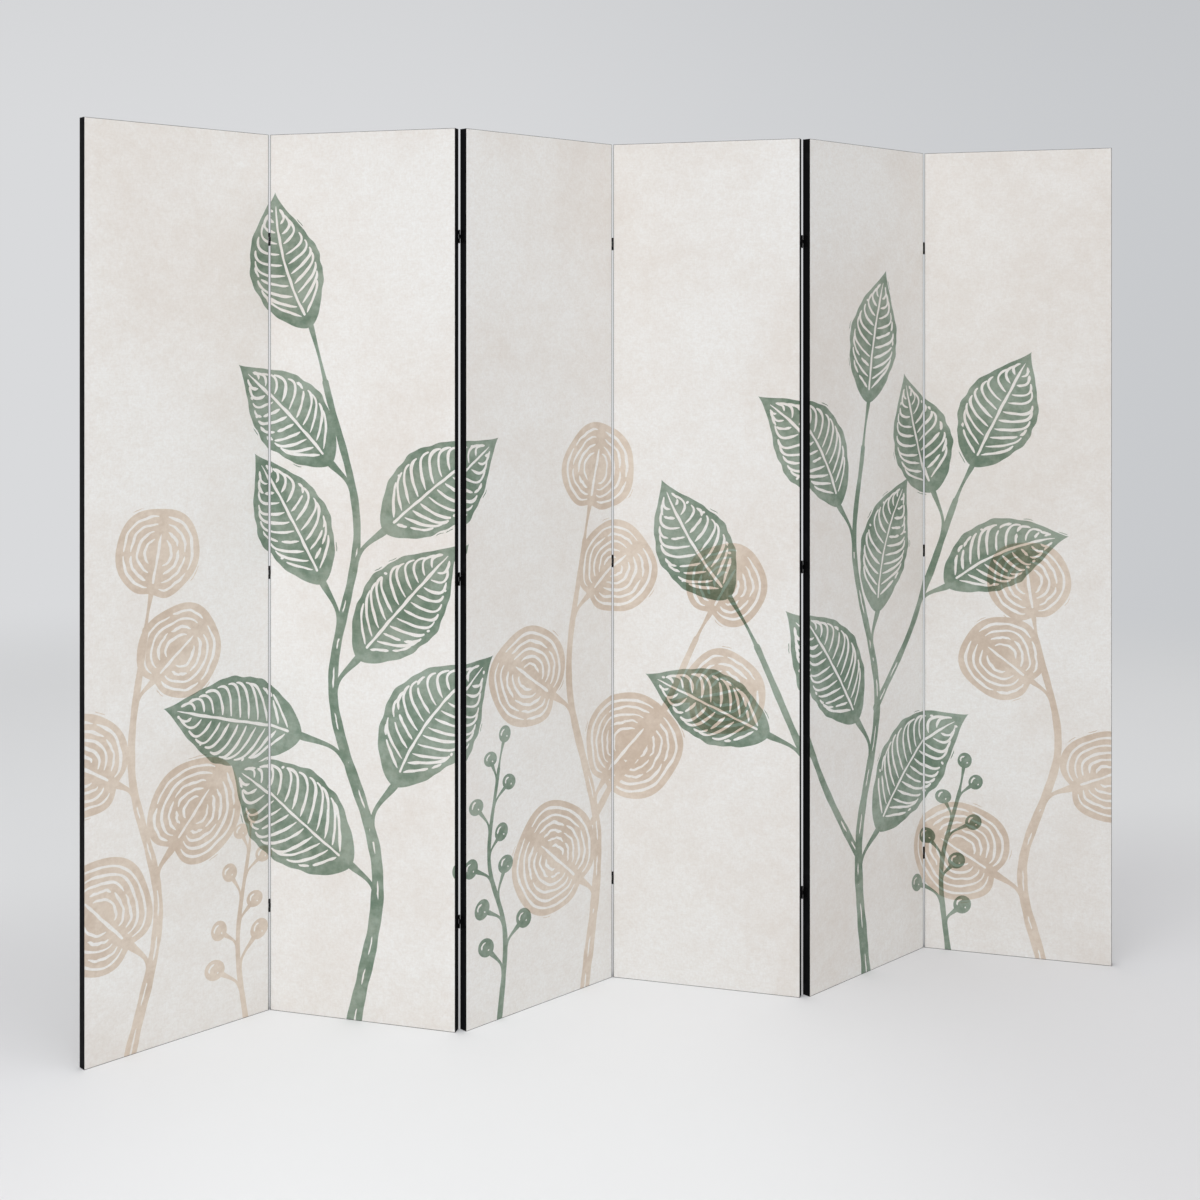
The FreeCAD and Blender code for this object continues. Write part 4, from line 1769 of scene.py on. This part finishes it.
@dataclass(frozen=True)
class Hinge:
    """Three small butt hinges at each fold: two leaves, a pin and four countersunk screws."""

    zigzag: Zigzag = Zigzag()
    rows: int = 3
    end_distance: float = 203.0
    tall: float = 25.0
    plate: float = 0.7
    reach: float = 13.0
    corner: float = 2.2
    knuckle_radius: float = 1.4
    knuckle_gap: float = 0.2
    notch: float = 1.7
    pin_radius: float = 0.7
    bore_radius: float = 0.75
    pin_head: float = 1.1
    pin_head_height: float = 0.5
    dome: tuple[Point, ...] = ((0.0, 1.0), (0.45, 0.93), (0.78, 0.7), (0.95, 0.4), (1.0, 0.0))
    pin_sides: int = 20
    bore_sides: int = 18
    screw_sides: int = 24
    screw_spacing: float = 15.0
    screw_head: float = 2.2
    screw_shank: float = 1.2
    screw_length: float = 12.0
    screw_point: float = 2.0
    screw_tip: float = 0.2
    screw_room: float = 0.05
    recess: float = 0.55
    recess_reach: float = 0.6
    recess_width: float = 0.64
    recess_narrows: float = 0.7

    @property
    def row_pitch(self) -> float:
        """The distance from one hinge to the next above it."""
        return (self.zigzag.height - 2 * self.end_distance) / (self.rows - 1)

    @property
    def axis(self) -> tuple[float, float]:
        """The pin's place: out from the panel's edge, and in from the face that the fold turns on."""
        return self.zigzag.gap / 2, -self.zigzag.axis_proud

    def _placed(self, edge: Edge, valley: bool) -> Place:
        """Find how a hinge's own coordinates stand on a panel.

        Args:
            edge: The panel's edge that carries the leaf.
            valley: Whether the fold turns about the front faces.

        Returns:
            A function from out, in and up to a point in the panel.
        """
        wide, thick = self.zigzag.width, self.zigzag.thickness

        def place(out: float, into: float, up: float) -> Triple:
            """Stand one point on the panel."""
            x = wide + out if edge is Edge.RIGHT else -out
            return x, (into if valley else thick - into), up

        return place

    def _plate_outline(self) -> np.ndarray:
        """Outline the plate: in from the face, then up, with its far corners rounded."""
        near, half = self.notch - self.zigzag.axis_proud, self.tall / 2
        return rounded_end(near, self.reach, -half, half, self.corner, 5)

    def _knuckle_outline(self) -> np.ndarray:
        """Outline a knuckle across its pin, with the root that joins it to the plate.

        Returns:
            The closed outline, anticlockwise.
        """
        out, into = self.axis
        root = self.notch - self.zigzag.axis_proud
        meet = math.acos((self.plate - out) / self.knuckle_radius)
        sweep = np.linspace(meet, -math.pi, 26)
        roll = polar(self.axis, sweep, self.knuckle_radius)
        bend = ((0.12, into + 0.45), (0.0, into + 1.0), (0.0, root), (self.plate, root))
        return np.vstack((roll, bend))[::-1]

    def leaf(self, edge: Edge, valley: bool) -> bpy.types.Mesh:
        """Build one leaf, level with its hinge's middle.

        Args:
            edge: The panel's edge that carries it.
            valley: Whether the fold turns about the front faces.

        Returns:
            The leaf, in the panel's millimetres.
        """
        parts = Parts()
        place = self._placed(edge, valley)
        middle = self.zigzag.thickness / 2
        holes = []
        for way in (-1, 1):
            centre = (middle, way * self.screw_spacing / 2)
            wide = self.screw_head + self.screw_room
            loops = [circle(centre, reach, self.screw_sides) for reach in (wide - self.plate, wide)]
            holes.append(tuple(loops))
        slab_with_holes(parts, self._plate_outline(), holes, (0.0, self.plate),
                        lambda u, v, out: place(out, u, v))
        length = (self.tall - 2 * self.knuckle_gap) / 3
        bore = circle(self.axis, self.bore_radius, self.bore_sides)
        for number in (0, 2) if edge is Edge.RIGHT else (1,):
            foot = -self.tall / 2 + number * (length + self.knuckle_gap)
            slab_with_holes(parts, self._knuckle_outline(), [(bore, bore)], (foot, foot + length), place)
        return parts.mesh(f"{edge.value}_leaf")

    def pin(self, valley: bool) -> bpy.types.Mesh:
        """Build one pin with a domed head at each end.

        Args:
            valley: Whether the fold turns about the front faces.

        Returns:
            The pin, in the millimetres of the panel at its left.
        """
        parts = Parts()
        place = self._placed(Edge.RIGHT, valley)
        half = self.tall / 2
        top = [(self.pin_head * r, half + self.pin_head_height * h) for r, h in self.dome]
        shank = [(self.pin_radius, half), (self.pin_radius, -half)]
        foot = [(r, -h) for r, h in reversed(top)]
        out, into = self.axis
        turned(parts, top + shank + foot, self.pin_sides, lambda u, v, up: place(out + u, into + v, up))
        return parts.mesh("pin")

    def screw(self, edge: Edge) -> bpy.types.Mesh:
        """Build one countersunk screw with a cross recess, about its own axis.

        Args:
            edge: The panel's edge that it enters.

        Returns:
            The screw, its head's face at zero and its point into the panel.
        """
        parts = Parts()
        way = 1 if edge is Edge.RIGHT else -1

        def place(u: float, v: float, out: float) -> Triple:
            """Stand one point of the screw along x."""
            return way * out, u, v

        head, shank, long = self.screw_head, self.screw_shank, self.screw_length
        profile = [(head, 0.0), (shank, shank - head), (shank, self.screw_point - long),
                   (self.screw_tip, -long), (0.0, -long)]
        turned(parts, profile, self.screw_sides, place)
        rim = circle((0, 0), head, self.screw_sides)
        arm, half = head * self.recess_reach, self.recess_width / 2
        quarter = np.array([(half, half), (half, arm), (-half, arm)])
        turns = ((1, 0), (0, 1), (-1, 0), (0, -1))
        cross = np.vstack([quarter @ np.array(((c, d), (-d, c))) for c, d in turns])
        corners, triangles = triangulate([rim, cross])
        centres = corners[triangles].mean(axis=1)
        keep = inside(rim, centres) & ~inside(cross, centres)
        parts.add([place(u, v, 0.0) for u, v in corners], triangles[keep].tolist())
        floor = cross * self.recess_narrows
        walls = [place(u, v, 0.0) for u, v in cross] + [place(u, v, -self.recess) for u, v in floor]
        count = len(cross)
        sides = [(i, (i + 1) % count, count + (i + 1) % count, count + i) for i in range(count)]
        parts.add(walls, [*sides, tuple(range(count, 2 * count))])
        return parts.mesh("screw")


@dataclass
class HingeSet:
    """Every hinge of the screen, repeated up its folds."""

    repeat: RepeatTree
    finishes: dict[Slot, bpy.types.Material]
    hinge: Hinge = Hinge()

    def _raise(self, name: str, piece: bpy.types.Mesh, slot: Slot, **values: object) -> bpy.types.Mesh:
        """Repeat a piece at the hinges' heights.

        Args:
            name: The name of the new mesh.
            piece: The piece at the lowest hinge.
            slot: Its finish.
            values: Inputs of the tree that differ from one piece at each hinge.

        Returns:
            One mesh of every copy.
        """
        wanted = {"Rows": self.hinge.rows, "Row Pitch": self.hinge.row_pitch, "In Row": 1,
                  "Pitch In Row": 1.0, "Turn": 0.0, "Turn Seed": 5, "Finish": self.finishes[slot]}
        return self.repeat.repeat(name, piece, wanted | values)

    def _stand(self, mesh: bpy.types.Mesh, panel: int, shift: Sequence[float]) -> bpy.types.Object:
        """Move a mesh up to the lowest hinge and into the row.

        Args:
            mesh: The mesh, in the panel's millimetres.
            panel: The panel's number.
            shift: How far it moves in the panel first.

        Returns:
            The object.
        """
        mesh.transform(Matrix.Translation(shift))
        mesh.transform(self.hinge.zigzag.panel_matrix(panel))
        return stand(mesh.name, mesh)

    def fold(self, left: int) -> list[bpy.types.Object]:
        """Build the leaves and pins of one fold.

        Args:
            left: The panel at the fold's left.

        Returns:
            The left leaves, the right leaves and the pins.
        """
        valley = self.hinge.zigzag.is_valley(left)
        name = f"fold_{left}_{left + 1}"
        up = (0.0, 0.0, self.hinge.end_distance)
        pieces = []
        for edge, panel in ((Edge.RIGHT, left), (Edge.LEFT, left + 1)):
            side = "left" if edge is Edge.RIGHT else "right"
            mesh = self._raise(f"{name}_{side}_hinge_leaves", self.hinge.leaf(edge, valley), Slot.HINGE)
            pieces.append(self._stand(mesh, panel, up))
        pins = self._raise(f"{name}_hinge_pins", self.hinge.pin(valley), Slot.PIN)
        pieces.append(self._stand(pins, left, up))
        return pieces

    def screws(self, panel: int) -> bpy.types.Object:
        """Build every hinge screw of a panel.

        Args:
            panel: The panel's number.

        Returns:
            The screws of one or both edges, as one piece.
        """
        hinge = self.hinge
        pieces = bmesh.new()
        for edge, wanted in ((Edge.LEFT, panel > 1), (Edge.RIGHT, panel < PANELS)):
            if not wanted:
                continue
            pairs = {"In Row": 2, "Pitch In Row": hinge.screw_spacing, "Turn": 2 * math.pi,
                     "Turn Seed": 10 + panel}
            mesh = self._raise("screws", hinge.screw(edge), Slot.SCREW, **pairs)
            x = hinge.zigzag.width + hinge.plate if edge is Edge.RIGHT else -hinge.plate
            foot = hinge.end_distance - hinge.screw_spacing / 2
            mesh.transform(Matrix.Translation((x, hinge.zigzag.thickness / 2, foot)))
            pieces.from_mesh(mesh)
        made = bpy.data.meshes.new(f"panel_{panel}_countersunk_screws")
        pieces.to_mesh(made)
        pieces.free()
        made.materials.append(self.finishes[Slot.SCREW])
        return self._stand(made, panel, (0.0, 0.0, 0.0))


@dataclass(frozen=True)
class Lamp:
    """A round soft lamp."""

    name: str
    place: Triple
    aim: Triple
    size: float
    power: float
    spread: float = math.radians(180.0)

    def build(self) -> bpy.types.Object:
        """Hang the lamp and turn it to what it lights.

        Returns:
            The lamp.
        """
        data = bpy.data.lights.new(self.name, "AREA")
        data.shape, data.size, data.energy = "DISK", self.size, self.power
        data.spread = self.spread
        lamp = bpy.data.objects.new(self.name, data)
        lamp.location = self.place
        away = Vector(self.place) - Vector(self.aim)
        lamp.rotation_euler = away.to_track_quat("Z", "Y").to_euler()
        bpy.context.scene.collection.objects.link(lamp)
        return lamp


@dataclass(frozen=True)
class PhotoView:
    """The camera at the photograph's place."""

    place: Triple = (-0.84277, -3.20874, 1.30810)
    heading: float = math.radians(13.9062)
    lens: float = 50.0
    sensor: float = 36.0
    shift: float = -0.21955

    def build(self) -> bpy.types.Object:
        """Set up the camera.

        Returns:
            The camera.
        """
        data = bpy.data.cameras.new("photo_view")
        data.lens, data.sensor_width, data.shift_y = self.lens, self.sensor, self.shift
        data.dof.use_dof = False
        camera = bpy.data.objects.new("photo_view", data)
        camera.location = self.place
        camera.rotation_euler = (math.pi / 2, 0.0, -self.heading)
        bpy.context.scene.collection.objects.link(camera)
        bpy.context.scene.camera = camera
        return camera


@dataclass(frozen=True)
class Backdrop:
    """Soft grey surroundings, a little darker to the right, and the lamps."""

    view: PhotoView = PhotoView()
    left: Colour = srgb(217, 218, 220)
    right: Colour = srgb(199, 201, 204)
    left_to_right: Point = (-0.2, 0.42)
    foot_to_top: Point = (0.1, 0.26)
    top_shade: float = 0.06
    ambient: float = 0.27
    from_above: float = 0.46
    from_front: float = 0.37
    from_behind: float = 0.22
    # The floor's colour where it is lit, and its painted shade where the lamps' light falls off to the sides
    # and in front.
    floor_pale: Colour = srgb(234, 235, 236.5)
    floor_painted_shade: Colour = srgb(223, 223, 225)
    floor_size: float = 40.0
    floor_roughness: float = 0.9
    floor_specular: float = 0.1
    painted_shade_middle: float = -0.35
    painted_shade_aside: Point = (0.25, 1.1)
    painted_shade_before: Point = (0.3, 1.1)
    floor_fades: Point = (3.3, 5.6)
    lamps: tuple[Lamp, ...] = (
        Lamp("front_left_lamp", (-2.6, -3.4, 1.3), (0.0, 0.0, 0.8), 2.0, 12.0, math.radians(130.0)),
        Lamp("overhead_lamp", (0.0, -1.0, 4.2), (0.0, -0.2, 0.0), 3.0, 45.0),
        Lamp("side_lamp", (-2.2, -2.0, 1.2), (-0.4, 0.0, 0.6), 1.2, 7.7, math.radians(150.0)),
        Lamp("low_right_lamp", (2.6, -2.8, 0.9), (0.1, 0.0, 0.5), 1.4, 3.0, math.radians(150.0)),
    )

    def _tone(self, graph: Graph, direction: Socket) -> Socket:
        """Draw the grey that is seen in a direction from the photograph's place.

        Args:
            graph: The graph that it is drawn in.
            direction: The direction.

        Returns:
            The colour.
        """
        right = (math.cos(self.view.heading), -math.sin(self.view.heading), 0.0)
        sideways = graph.dot(direction, right)
        colour = graph.mix(graph.remap(sideways, *self.left_to_right), self.left, self.right)
        height = graph.dot(direction, (0.0, 0.0, 1.0))
        shade = graph.remap(height, *self.foot_to_top, 0.0, self.top_shade)
        return graph.mix(shade, colour, (0.0, 0.0, 0.0, 1.0))

    @staticmethod
    def _seen(graph: Graph) -> Socket:
        """Tell the rays that see the surroundings from those that only bring light.

        Args:
            graph: The graph that it is drawn in.

        Returns:
            1 for a ray that sees them, else 0.
        """
        rays = graph.add("ShaderNodeLightPath").outputs
        seen = graph.math("MAXIMUM", rays["Is Camera Ray"], rays["Is Glossy Ray"])
        return graph.math("MAXIMUM", seen, rays["Is Transmission Ray"])

    def world(self) -> None:
        """Draw the surroundings."""
        world = bpy.data.worlds.new("surroundings")
        world.use_nodes = True
        bpy.context.scene.world = world
        graph = Graph(world.node_tree)
        out = world.node_tree.nodes["World Output"]
        plain = world.node_tree.nodes["Background"]
        direction = graph.add("ShaderNodeTexCoord").outputs["Generated"]
        light = self.ambient
        for axis, strength in (((0.0, 0.0, 1.0), self.from_above), ((0.0, -1.0, 0.0), self.from_front),
                               ((0.0, 1.0, 0.0), self.from_behind)):
            share = graph.math("MAXIMUM", graph.dot(direction, axis), 0.0)
            light = graph.math("ADD", graph.math("MULTIPLY", share, strength), light)
        graph.feed(plain.inputs["Color"], light)
        seen = graph.add("ShaderNodeBackground", {"Color": self._tone(graph, direction)})
        shown = {0: self._seen(graph), 1: plain.outputs[0], 2: seen.outputs[0]}
        both = graph.add("ShaderNodeMixShader", shown)
        graph.feed(out.inputs["Surface"], both.outputs[0])

    def floor(self) -> bpy.types.Object:
        """Lay the floor, darkened to its sides and in front by painted shade, which takes the surroundings'
        grey far from the screen.

        Returns:
            The floor.
        """
        half = self.floor_size / 2
        mesh = bpy.data.meshes.new("floor")
        corners = [(-half, -half, 0), (half, -half, 0), (half, half, 0), (-half, half, 0)]
        mesh.from_pydata(corners, [], [(0, 1, 2, 3)])
        floor = stand("floor", mesh)
        material, graph, shader = new_material("pale_floor")
        place = graph.add("ShaderNodeTexCoord").outputs["Object"]
        split = graph.add("ShaderNodeSeparateXYZ", {0: place}).outputs
        # Painted shade: the floor darkens to either side of its lit middle and in front of the screen, fading
        # out behind it.
        aside = graph.math("ABSOLUTE", graph.math("SUBTRACT", split[0], self.painted_shade_middle))
        before = graph.remap(split[1], *self.painted_shade_before, 1.0, 0.0)
        edge = graph.math("MULTIPLY", graph.remap(aside, *self.painted_shade_aside), before)
        graph.feed(shader.inputs["Base Color"], graph.mix(edge, self.floor_pale, self.floor_painted_shade))
        shader.inputs["Roughness"].default_value = self.floor_roughness
        shader.inputs["Specular IOR Level"].default_value = self.floor_specular
        ray = graph.vector("NORMALIZE", graph.vector("SUBTRACT", place, self.view.place))
        glow = graph.add("ShaderNodeEmission", {"Color": self._tone(graph, ray)})
        away = graph.add("ShaderNodeVectorMath", {0: place}, operation="LENGTH").outputs["Value"]
        far = graph.math("MULTIPLY", graph.remap(away, *self.floor_fades), self._seen(graph))
        both = graph.add("ShaderNodeMixShader", {0: far, 1: shader.outputs[0], 2: glow.outputs[0]})
        graph.feed(material.node_tree.nodes["Material Output"].inputs["Surface"], both.outputs[0])
        mesh.materials.append(material)
        return floor


class FoldingScreen:
    """The whole screen, dressed panel by panel and fold by fold."""

    def __init__(self, frame: dict) -> None:
        """Make every finish once.

        Args:
            frame: What the frame's loading gave.
        """
        self.nodes: dict[str, bpy.types.Object] = frame["nodes"]
        effects = Effects()
        makers = (
            CanvasFinish(Slot.PRINTED),
            CanvasFinish(Slot.PLAIN),
            TapeFinish(),
            PineFinish(),
            BlackedMetal(Slot.HINGE),
            BlackedMetal(Slot.PIN, roughness=(0.28, 0.42), rubbed=0.5),
            BlackedMetal(Slot.SCREW, roughness=(0.26, 0.44), rubbed=0.45),
        )
        self.finishes = {maker.slot: maker.build(effects) for maker in makers}

    def _fit(self, piece: bpy.types.Object, panel: int, slot: Slot, node: str) -> None:
        """Let a piece stand for a node and move with its panel.

        Args:
            piece: The finished piece.
            panel: The panel that carries it.
            slot: Its finish.
            node: The node that it replaces.
        """
        if not piece.data.materials:
            piece.data.materials.append(self.finishes[slot])
        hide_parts(node)
        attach(piece, f"panel_{panel}")
        LOG.info("%s: %d faces", piece.name, len(piece.data.polygons))

    def dress_timber(self, panel: int) -> None:
        """Give the stiles and rails of a panel their pine.

        Args:
            panel: The panel's number.
        """
        for piece in ("left_stile", "right_stile", "rails"):
            node = self.nodes[f"panel_{panel}_{piece}"]
            for place in node.material_slots:
                place.material = self.finishes[Slot.PINE]
            LOG.info("%s: pine", node.name)

    def dress_panel(self, panel: int, shapes: Sequence[Shape]) -> None:
        """Stretch both canvases over a panel and bind its edges.

        Args:
            panel: The panel's number.
            shapes: The print's shapes.
        """
        self.dress_timber(panel)
        for face in Face:
            canvas = Canvas(face)
            cloth = canvas.build(panel, shapes if face is Face.FRONT else [])
            self._fit(cloth, panel, canvas.slot, f"panel_{panel}_{face.value}_canvas")
            canvas.flat_size
        self._fit(EdgeTape().build(panel), panel, Slot.STRIP, f"panel_{panel}_edge_strips")

    def hang_hinges(self) -> None:
        """Fit the hinges of every fold and their screws."""
        hinges = HingeSet(RepeatTree(), self.finishes)
        for left in range(1, PANELS):
            leaves_left, leaves_right, pins = hinges.fold(left)
            name = f"fold_{left}_{left + 1}"
            self._fit(leaves_left, left, Slot.HINGE, f"{name}_left_leaves")
            self._fit(leaves_right, left + 1, Slot.HINGE, f"{name}_right_leaves")
            self._fit(pins, left, Slot.PIN, f"{name}_pins")
        for panel in range(1, PANELS + 1):
            self._fit(hinges.screws(panel), panel, Slot.SCREW, f"panel_{panel}_hinge_screws")


def main() -> None:
    """Build the screen, its stage and its camera."""
    logging.basicConfig(level=logging.INFO, format="%(name)s %(message)s")
    for old in list(bpy.data.objects):
        bpy.data.objects.remove(old)
    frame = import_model()
    bpy.context.scene.view_settings.view_transform = "Standard"
    backdrop = Backdrop()
    backdrop.view.build()

    screen = FoldingScreen(frame)
    shapes = PlantPrint().shapes()
    for panel in range(1, PANELS + 1):
        screen.dress_panel(panel, shapes)
    screen.hang_hinges()

    backdrop.world()
    for lamp in backdrop.lamps:
        lamp.build()
    backdrop.floor()


if __name__ == "__main__":
    main()
